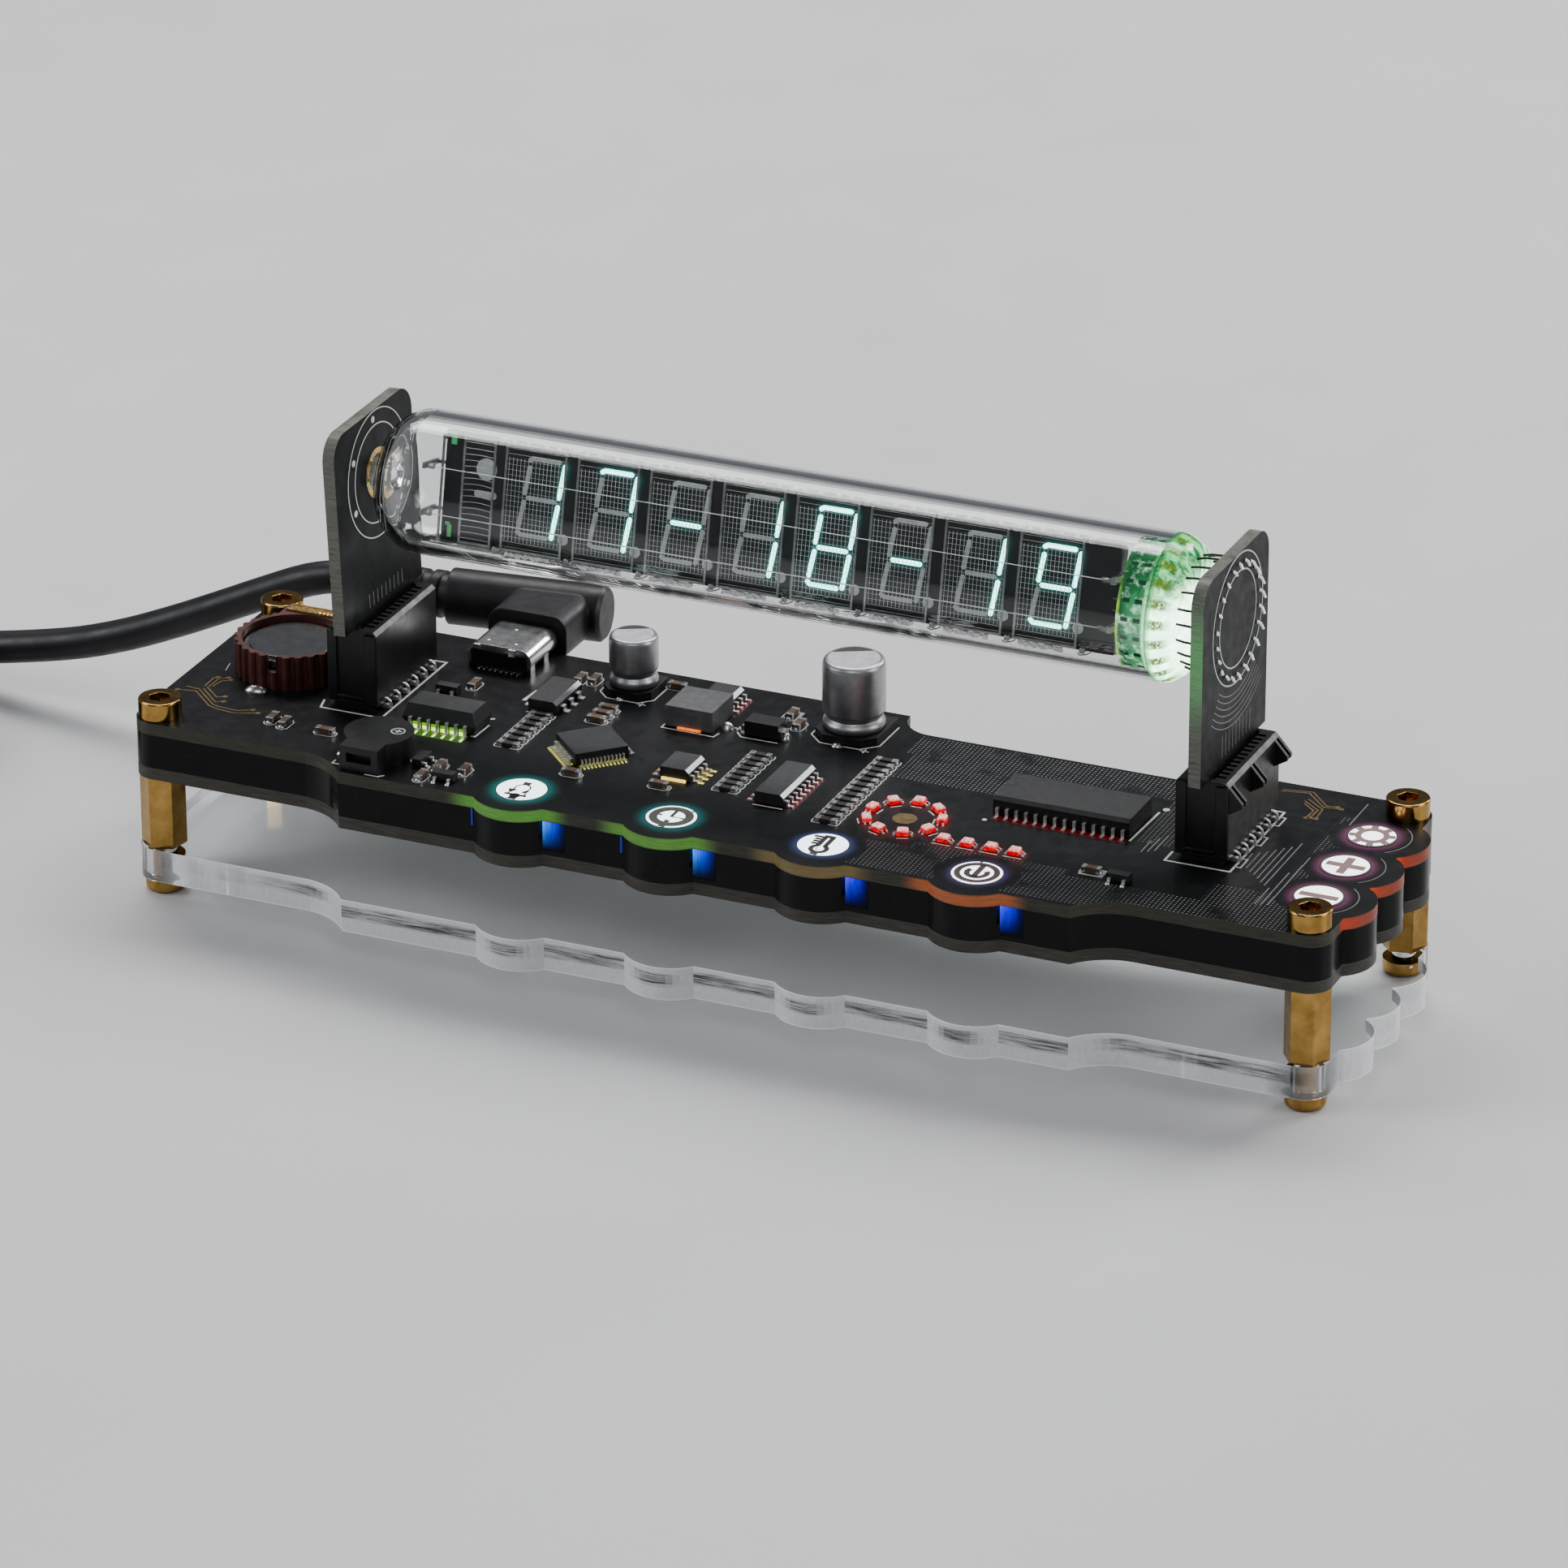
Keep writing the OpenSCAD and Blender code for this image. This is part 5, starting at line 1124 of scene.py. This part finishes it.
def solder_beads():
    """Shiny solder where terminals meet the board."""
    s = Shape()
    s.dome(-69.3, -5.6, 0, 1.5, 0.95, 0.75, 12)
    s.dome(-50.6, -18.6, 0, 0.85, 0.6, 0.5, 30)
    s.dome(-9.85, 7.3, 0, 0.95, 0.95, 0.95, 0)
    s.dome(-1.9, 7.5, 0, 0.7, 0.9, 0.8, 0)
    s.dome(-7.4, 7.5, 0, 0.7, 0.9, 0.8, 0)
    s.dome(4.8, 8.0, 0, 0.75, 0.6, 0.35, 0)
    s.dome(-26.0, 10.1, 0, 0.6, 0.5, 0.3, 0)
    for x, y0, y1, n in ROWS:
        for i in range(n):
            for q in (-1, 1):
                s.dome(x + q * 1.36, y0 + (y1 - y0) * i / (n - 1), 0, 0.20, 0.34, 0.26, 0, n=12, rings=4)
    for x, y, turn in SOTS:
        a = math.radians(turn)
        for u, v in ((-0.95, -1.45), (0.95, -1.45), (0, 1.45)):
            s.dome(x + u * math.cos(a) - v * math.sin(a), y + u * math.sin(a) + v * math.cos(a), 0, 0.32, 0.34, 0.3, turn,
                   n=12, rings=4)
    for x, y, turn in LONE:
        a = math.radians(turn)
        for q in (-1, 1):
            s.dome(x + q * 1.16 * math.cos(a), y + q * 1.16 * math.sin(a), 0, 0.26, 0.44, 0.40, turn, n=12, rings=4)
    for cx, cy, turn, _ in LAMPS:
        c, q = math.cos(math.radians(turn)), math.sin(math.radians(turn))
        for u in (-1.08, 1.08):
            for v in (-0.32, 0.32):
                s.dome(cx + u * c - v * q, cy + u * q + v * c, 0, 0.24, 0.20, 0.26, turn, n=10, rings=4)
    return s.build("solder_beads", tin, "base", "tin")


def chip_lights():
    """Painted light: lit strips under the edges of the chips and of the coil, and on their leads."""
    s = Shape()
    for i in range(6):
        x = -42.65 + (i - 2.5) * 1.27
        s.block(x - 0.30, x + 0.30, -7.98, -7.70, 0.03, 0.50, 0.05, 7)
        s.block(x - 0.36, x + 0.36, -7.92, -7.70, 0.48, 0.85, 0.05, 0)
    for i in range(7):
        x = -42.65 + (i - 3) * 1.27
        s.block(x - 0.17, x + 0.17, -9.65, -8.85, -0.01, 0.06, 0.03, 7)
    s.block(-46.9, -38.5, -9.9, -7.72, -0.01, 0.02, 0, 5)
    c, q = math.cos(math.radians(-45)), math.sin(math.radians(-45))

    def mcu(x, y, z):
        return (-22.5 + c * x - q * y, -5.5 + q * x + c * y, z)
    s.block(-3.2, 3.2, -4.75, -3.56, -0.01, 0.025, 0, 1, mcu)
    s.block(-4.75, -3.56, -3.2, 3.2, -0.01, 0.025, 0, 1, mcu)
    s.block(3.56, 4.5, -3.2, 3.2, -0.01, 0.02, 0, 1, mcu)
    for i in range(12):
        u = (i - 5.5) * 0.5
        s.block(u - 0.11, u + 0.11, -4.95, -4.55, 0.0, 0.05, 0.02, 10, mcu)
        s.block(4.55, 4.95, u - 0.11, u + 0.11, 0.0, 0.05, 0.02, 10, mcu)
        s.block(3.66, 3.92, u - 0.13, u + 0.13, 0.0, 0.10, 0.02, 10, mcu)
        s.block(u - 0.13, u + 0.13, -3.92, -3.66, 0.0, 0.10, 0.02, 10, mcu)
    s.block(-11.2, -7.9, -9.80, -9.48, 0.0, 0.34, 0.06, 8)
    s.block(-7.5, -6.2, -9.0, -4.9, -0.01, 0.02, 0, 6)
    s.block(-12.8, -11.5, -9.0, -4.9, -0.01, 0.02, 0, 6)
    for i in range(4):
        y = -7 + (i - 1.5) * 1.27
        s.block(-6.55, -5.75, y - 0.24, y + 0.24, -0.01, 0.05, 0.02, 10)
    s.block(-15.64, -12.43, 4.72, 5.08, 0.0, 0.24, 0.05, 3)
    s.block(6.2, 7.6, -11.3, -1.9, -0.01, 0.02, 0, 9)
    s.block(0.9, 2.2, -11.3, -1.9, -0.01, 0.02, 0, 9)
    s.block(30.6, 48.2, -4.55, -3.18, -0.01, 0.02, 0, 9)
    s.block(-11.6, -10.2, 11.9, 16.5, -0.01, 0.02, 0, 9)
    return s.build("chip_lights", [green_strip, lime_strip, amber_strip, orange_strip, red_strip, green_glow_wash, amber_glow_wash,
                                   white_green, yellow_strip, deep_red, yellow_lead_glow], "base")


def lamp_bodies():
    """Moulded red lamps with a tapered lens and two bent leads at each end."""
    s = Shape()
    for cx, cy, turn, _ in LAMPS:
        c, q = math.cos(math.radians(turn)), math.sin(math.radians(turn))

        def here(u, v, z, c=c, q=q, cx=cx, cy=cy):
            return (cx + c * u - q * v, cy + q * u + c * v, z)
        rows = [(0.74, 0.60, 0.05), (0.76, 0.62, 0.42), (0.62, 0.50, 0.82), (0.52, 0.40, 0.92)]
        verts = []
        for a, b, z in rows:
            verts += [here(u * a, v * b, z) for u, v in ((-1, -1), (1, -1), (1, 1), (-1, 1))]
        faces = [(3, 2, 1, 0), (12, 13, 14, 15)]
        for i in range(3):
            faces += [(4 * i + j, 4 * i + (j + 1) % 4, 4 * i + 4 + (j + 1) % 4, 4 * i + 4 + j) for j in range(4)]
        s.add(verts, faces)
        for u in (-1, 1):
            for v in (-0.32, 0.32):
                s.block(min(u * 0.70, u * 1.02), max(u * 0.70, u * 1.02), v - 0.13, v + 0.13, 0.14, 0.36, 0.04, 1, here)
                s.block(min(u * 0.98, u * 1.22), max(u * 0.98, u * 1.22), v - 0.13, v + 0.13, 0.0, 0.24, 0.04, 1, here)
    return s.build("lamp_bodies", [red_lamp, tin], "base", "red_lamp", ("red_lamps",))


def driver_marks():
    """Half-round recess on the left end of the large chip."""
    s = Shape()
    pts = [(30.52 + 0.95 * math.sin(math.radians(a)), 0.6 + 0.95 * math.cos(math.radians(a))) for a in range(0, 181, 15)]
    s.prism(pts, 2.38, 2.415)
    return s.build("driver_marks", dark_mark, "base", "chip_black")


capacitor_bodies()
solder_beads()
chip_lights()
lamp_bodies()
driver_marks()

# ---- inside the tube ---------------------------------------------------------------

LEAN = math.radians(90 - 11.5)
SHOWN = [1, 7, 10, 1, 8, 10, 1, 9]


def T(x, w, d):
    """From the tube's frame: along the tube, up in the leaning plate, out of it."""
    return (x, 2.85 + w * math.cos(LEAN) - d * math.sin(LEAN), 28.85 + w * math.sin(LEAN) + d * math.cos(LEAN))


SEGMENTS = [[(-5.12, 4.88), (-4.76, 5.12), (-1.15, 5.12)], [(-0.38, 4.72), (-0.92, 0.72)], [(-1.0, -0.45), (-1.60, -4.5)],
            [(-6.24, -4.38), (-5.86, -4.66), (-2.35, -4.66)], [(-5.64, -0.48), (-6.12, -3.55)], [(-5.14, 3.92), (-5.60, 0.68)],
            [(-5.1, 0.12), (-1.5, 0.12)]]
# segments lit for 0 to 9 and, last, for a dash
LIT = ["abcdef", "bc", "abdeg", "abcdg", "bcfg", "acdfg", "acdefg", "abc", "abcdefg", "abcdfg", "g"]


def stroke(s, pts, w, d0, d1, mat=0):
    """A line of even width with round ends, on the tube's plate."""
    p = [Vector(q) for q in pts]
    left, right = [], []
    for i, q in enumerate(p):
        t = ((p[min(i + 1, len(p) - 1)] - q).normalized() if i < len(p) - 1 else Vector((0, 0)))
        t = (t + ((q - p[i - 1]).normalized() if i > 0 else Vector((0, 0)))).normalized()
        n = Vector((-t.y, t.x)) * w / 2
        left.append(q + n)
        right.append(q - n)

    def cap(at, start):
        return [at + Matrix.Rotation(-math.pi * j / 8, 2) @ start for j in range(1, 8)]
    outline = left + cap(p[-1], left[-1] - p[-1]) + right[::-1] + cap(p[0], right[0] - p[0])
    s.prism([tuple(v) for v in outline], d0, d1, mat, T)


def digits():
    """Phosphor strokes of the eight figures, with the light that spills round the lit ones."""
    lit, dark, halo = Shape(), Shape(), Shape()
    for k, n in enumerate(SHOWN):
        x = -29.32 + 9.845 * k
        for i, pts in enumerate(SEGMENTS):
            on = "abcdefg"[i] in LIT[n]
            here = [(x + a, b) for a, b in pts]
            stroke(lit if on else dark, here, 0.60, 0.47, 0.59)
            if on:
                for j, w in enumerate((0.98, 1.42, 2.05)):
                    stroke(halo, here, w, 0.49, 0.525 - 0.008 * j, j)
        dark.disc(x, -4.45, 0.72, 0.47, 0.59, to=T, n=24)
    dark.disc(-40.3, 2.8, 1.4, 0.47, 0.59, to=T, n=32)
    stroke(dark, [(-41.35, -0.40), (-39.15, -0.40)], 0.9, 0.47, 0.59)
    halo.build("digit_halo", [halo_near, halo_mid, halo_far], "display", "phosphor_lit")
    dark.build("digit_dark", phosphor, "display", "phosphor_dark", ("dark_segments",))
    return lit.build("digit_lit", digit_light, "display", "phosphor_lit", ("lit_segments",))


def control_mesh():
    """Fine wires in front of each digit."""
    s = Shape()
    d0, d1 = 2.13, 2.19
    for k in range(8):
        x0, x1 = -29.32 + 9.845 * k - 7.5, -29.32 + 9.845 * k + 0.3
        for i in range(15):
            x = x0 + (x1 - x0) * (i + 0.5) / 15
            s.block(x - 0.018, x + 0.018, -5.3, 5.2, d0, d1, to=T)
        for i in range(20):
            w = -6.35 + 12.95 * (i + 0.5) / 20
            s.block(x0 - 0.05, x1 + 0.05, w - 0.014, w + 0.014, d0 + 0.03, d1 + 0.03, to=T)
    for i in range(17):
        w = -6.25 + 12.8 * (i + 0.5) / 17
        bow = 0.30 * math.cos(w / 6.4 * math.pi / 2)
        s.ribbon([(-42.65, w), (-41.4, w + bow * 0.5), (-40.6, w + bow * 0.6), (-39.8, w + bow * 0.5), (-38.65, w)],
                 0.06, d0, d1, to=T)
    return s.build("control_mesh", wire_grey, "display", "steel")


def mesh_clamps():
    """Crimped strips that hold the wire meshes at the bottom, and small tabs at the top."""
    s = Shape()
    for k in range(8):
        x0 = -29.32 + 9.845 * k - 7.0
        for i in range(9):
            a, b = x0 + 0.66 * i, x0 + 0.66 * (i + 1) - 0.05
            u, v = 0.16 * math.sin(2.7 * i + 1.3 * k), 0.16 * math.sin(1.9 * i + 2.1 * k + 0.7)
            s.prism([(a, -7.28 + u), (b, -7.30 + v), (b, -6.78 - 0.4 * u), (a, -6.74 + 0.5 * v)], 1.92 + 0.5 * u, 2.24 + 0.4 * v,
                    to=T)
        for i in (0, 3, 7, 10):
            a = x0 + 0.62 * i + 0.2 * math.sin(3.1 * i + k)
            s.prism([(a, 6.92), (a + 0.42, 6.88), (a + 0.38, 7.22), (a + 0.08, 7.26)], 1.95, 2.2, to=T)
    return s.build("mesh_clamps", clamp_grey, "display", "steel")


def tube_hooks():
    s = Shape()
    for k in range(9):
        x = -29.32 + 9.845 * k - 8.5
        for q in (-1, 1):
            s.block(x - 0.35, x + 0.35, q * 6.75 - 0.35, q * 6.75 + 0.35, 0.6, 2.25, 0.1, to=T)
            s.tube([T(x - 0.5, q * 7.0, 2.3), T(x - 0.2, q * 7.35, 2.1), T(x + 0.4, q * 7.3, 1.6),
                    T(x + 0.9, q * 7.0, 1.3)], 0.09, 6)
    # wires at both ends
    for w in (-3.2, 2.7):
        for x0, x1 in ((-46.1, -47.2), (43.2, 44.3)):
            pts = [T(x0 + (x1 - x0) * i / 24, w + 0.28 * math.sin(i * 1.6), 3.4 + 0.28 * math.cos(i * 1.6)) for i in range(25)]
            s.tube(pts, 0.06, 6)
    return s.build("tube_hooks", frame_grey, "display", "steel")


def phosphor_bits():
    s = Shape()
    for x, w, a, b in ((-44.3, 6.3, 0.75, 1.5), (-44.9, 6.9, 1.1, 0.4), (-44.2, -5.3, 0.55, 1.6), (-44.5, -4.4, 0.6, 0.4)):
        s.block(x - a / 2, x + a / 2, w - b / 2, w + b / 2, 2.0, 2.1, 0.04, to=T)
    return s.build("phosphor_bits", green_bit, "display", "phosphor_dark")


def tube_leads():
    """Leads that bend from the pressed foot towards the card."""
    s = Shape()
    for i in range(22):
        a = 2 * math.pi * (i + 0.5) / 22
        pts = []
        for x, r in ((45.6, 5.6), (46.2, 5.9), (46.7, 6.3), (46.95, 6.8)):
            wob = 0.06 * math.sin(3.1 * i)
            pts.append((x, 2.85 + r * math.cos(a + wob), 28.85 + r * math.sin(a + wob)))
        s.tube(pts, 0.11, 6)
    return s.build("tube_leads", dark_metal, "display", "tin")


digits()
control_mesh()
mesh_clamps()
tube_hooks()
phosphor_bits()
tube_leads()

# ---- end cards -----------------------------------------------------------------------

LC, LS = math.cos(math.radians(2.4)), math.sin(math.radians(2.4))


def on_left(y, z, t):
    """Left card's inner face: across, up, and out of the face."""
    x = 0.8 + t
    return (-55.45 + x * LC - (z - 6) * LS, y, 6 + x * LS + (z - 6) * LC)


def on_right(y, z, t):
    return (59.6 + t, y, z)


def card_marks():
    s = Shape()
    for r, w in ((8.3, 0.16), (6.4, 0.16)):
        s.ring(2.85, 28.85, r, w, -0.02, 0.03, to=on_left)
    for a in (94, 151, 205, 330):
        s.disc(2.85 + 7.3 * math.cos(math.radians(a)), 28.85 + 7.3 * math.sin(math.radians(a)), 0.45, -0.02, 0.03,
               to=on_left, n=18)
    for r in (8.3, 6.1):
        s.ring(2.85, 28.85, r, 0.2, -0.02, 0.03, to=on_right)
    return s.build("card_marks", silk, "display", "pad_white")


def card_tracks():
    s = Shape()
    for r in (9.6, 10.4, 11.2, 12.0, 12.8, 13.6):
        s.ring(2.85, 28.85, r, 0.14, -0.02, 0.02, 232, 308, to=on_right)
    for i in range(9):
        y = -1.6 + i * 1.15
        s.ribbon([(y, 12.2), (y, 15.2)], 0.14, -0.02, 0.02, to=on_right)
        s.ribbon([(y, 12.2), (y, 14.0)], 0.14, -0.02, 0.02, to=on_left)
    return s.build("card_tracks", silk_faint, "display", "pad_white")


def card_ring():
    s = Shape()
    s.ring(2.85, 28.85, 2.9, 0.75, -0.02, 0.05, to=on_left)
    return s.build("card_ring", gold, "display", "gold")


def pin_ends():
    """Thin bent leads from the foot to the right card, and their clipped, soldered ends on its outer face."""
    s = Shape()
    for i in range(22):
        a = 2 * math.pi * (i + 0.5) / 22
        cy, cz = math.cos(a), math.sin(a)
        bend = 0.12 * math.sin(2.3 * i)
        pts = [(x, 2.85 + r * cy - bend * t * cz, 28.85 + r * cz + bend * t * cy)
               for x, r, t in ((53.4, 6.5, 0), (54.4, 6.9, 0.6), (55.4, 7.12, 1.0), (56.8, 7.2, 0.7), (58.4, 7.2, 0), (59.55, 7.2, 0))]
        s.tube(pts, 0.16, 8)
        y, z = 2.85 + 7.2 * cy, 28.85 + 7.2 * cz
        far = 0.30 + 0.28 * (1 + cy)
        s.dome(y, z, -0.02, 0.34, 0.34, 0.16, 0, 0, n=14, rings=4, to=on_right)
        s.tube([on_right(y, z, 0.0), on_right(y + bend, z - 0.30 * far, 0.6 * far), on_right(y + 2 * bend, z - 1.15 * far, far)],
               [0.20, 0.20, 0.17], 8, 1)
    return s.build("pin_ends", [tube_pin, pin_tin], "display", "tin", ("tube_pins",))


card_marks()
card_tracks()
card_ring()
pin_ends()

# ---- sockets, power socket, battery ----------------------------------------------------


def socket_trim():
    """Ribs and moulded ledges on the near ends of the card sockets."""
    s = Shape()
    for x in (-55.45, 58.8):
        y = 2.65 - 8.5
        s.block(x - 3.4, x - 2.05, y - 0.28, y + 0.1, 1.0, 10.5, 0.1)
        s.block(x + 1.75, x + 3.4, y - 0.28, y + 0.1, 1.0, 10.5, 0.1)
        s.block(x - 2.0, x + 1.7, y - 0.40, y + 0.1, 1.5, 1.9, 0.08)
        s.block(x - 2.0, x + 1.7, y - 0.16, y + 0.1, 0.82, 1.2, 0.05)
    return s.build("socket_trim", socket_black, "base", "socket_plastic")


def contact_hooks():
    """Bent solder tails along the outer sides of the sockets."""
    s = Shape()
    for x in (-55.45, 58.8):
        for i in range(6):
            y = 2.65 + (i - 2.5) * 2.54
            x0 = x + 3.5
            s.tube([(x0 - 0.3, y, 1.25), (x0 + 0.25, y, 1.2), (x0 + 0.62, y, 0.9), (x0 + 0.72, y, 0.5), (x0 + 0.70, y, 0.05)],
                   0.2, 8)
    return s.build("contact_hooks", lead_tin, "base", "tin")


def port_details():
    """Dimples, spring tabs and pins of the power socket."""
    s = Shape()
    x, z = -43.8, 3.26
    for dx, dy in ((-2.2, 1.6), (1.6, 1.6), (-0.3, 5.8)):
        s.dome(x + dx, 12.3 + dy, z - 0.02, 0.3, 0.3, 0.10, n=14, rings=3)
    s.block(x - 3.5, x - 2.6, 12.15, 12.6, 2.5, 3.2, 0.06)
    s.block(x + 1.3, x + 2.3, 12.05, 12.6, 2.2, 3.2, 0.06)
    for i in range(8):
        s.block(x - 2.8 + 0.78 * i, x - 2.5 + 0.78 * i, 11.5, 12.35, -0.01, 0.22, 0.04)
    return s.build("port_details", steel, "base", "steel")


def port_wall():
    s = Shape()
    s.block(-43.8 - 3.9, -43.8 + 3.9, 12.08, 12.32, 0.25, 2.45, 0.05)
    return s.build("port_wall", plastic, "base", "black_plastic")


def clip_fingers():
    """Small sprung fingers along the battery clip's edge."""
    s = Shape()
    for i in range(7):
        x = -68.1 + 0.2 + i * 0.55
        s.block(x - 0.2, x + 0.2, 2.6 + 6.62, 2.6 + 7.2, 4.88, 5.02, 0.03)
    s.ribbon([(-68.1 - 4.1, 2.6 + 8.1), (-68.1 + 4.2, 2.6 + 8.1)], 0.25, 4.89, 5.0)
    return s.build("clip_fingers", gold, "base", "gold")


def buzzer_mark():
    s = Shape()
    s.ring(-44.0, -16.3, 0.85, 0.2, 3.28, 3.33)
    s.ribbon([(-44.5, -16.3), (-43.5, -16.3)], 0.22, 3.28, 3.33)
    s.ribbon([(-44.0, -16.8), (-44.0, -15.8)], 0.22, 3.28, 3.335)
    return s.build("buzzer_mark", silk, "base", "pad_white")


socket_trim()
contact_hooks()
port_details()
port_wall()
clip_fingers()
buzzer_mark()

# ---- floor and light ---------------------------------------------------------------------


def make_stage():
    mesh = bpy.data.meshes.new("floor")
    mesh.from_pydata([(-4, -4, 0), (4, -4, 0), (4, 6, 0), (-4, 6, 0)], [], [(0, 1, 2, 3)])
    k = Look("pale_floor")
    base = k.ramp(k.noise(0.004, 3, 0.5), [(0.3, (0.60, 0.60, 0.605)), (0.7, (0.64, 0.64, 0.645))])
    mesh.materials.append(k.done(k.shader(Base_Color=base, Roughness=k.rng(k.noise(0.05, 4, 0.6), 0.3, 0.7, 0.42, 0.52))))
    floor = bpy.data.objects.new("floor", mesh)
    scene.collection.objects.link(floor)
    world = bpy.data.worlds.new("studio")
    scene.world = world
    world.use_nodes = True
    back = world.node_tree.nodes["Background"]
    back.inputs[0].default_value = (0.80, 0.83, 0.90, 1)
    back.inputs[1].default_value = 0.16

    def soft_box(name, place, aim, sx, sy, power, colour=(1, 1, 1)):
        data = bpy.data.lights.new(name, "AREA")
        data.shape = "RECTANGLE"
        data.size, data.size_y = sx, sy
        data.energy = power
        data.color = colour
        ob = bpy.data.objects.new(name, data)
        scene.collection.objects.link(ob)
        ob.location = place
        ob.rotation_euler = (Vector(aim) - Vector(place)).to_track_quat("-Z", "Y").to_euler()

    soft_box("key", (-0.10, 0.55, 0.85), (0, 0, 0.03), 1.3, 0.35, 9.0)
    soft_box("left", (-0.85, -0.35, 0.55), (-0.02, 0, 0.04), 0.5, 0.5, 4.0, (0.97, 0.98, 1.0))
    soft_box("edge", (0.45, 0.98, 0.50), (0, 0, 0.03), 0.30, 0.30, 3.0)
    soft_box("front", (0.35, -1.0, 0.9), (0, 0, 0.02), 0.8, 0.5, 3.0)
    soft_box("right", (1.05, 0.10, 0.45), (0, 0, 0.03), 0.5, 0.5, 4.0)


make_stage()
scene.view_settings.view_transform = "AgX"
scene.view_settings.look = "AgX - Medium High Contrast"
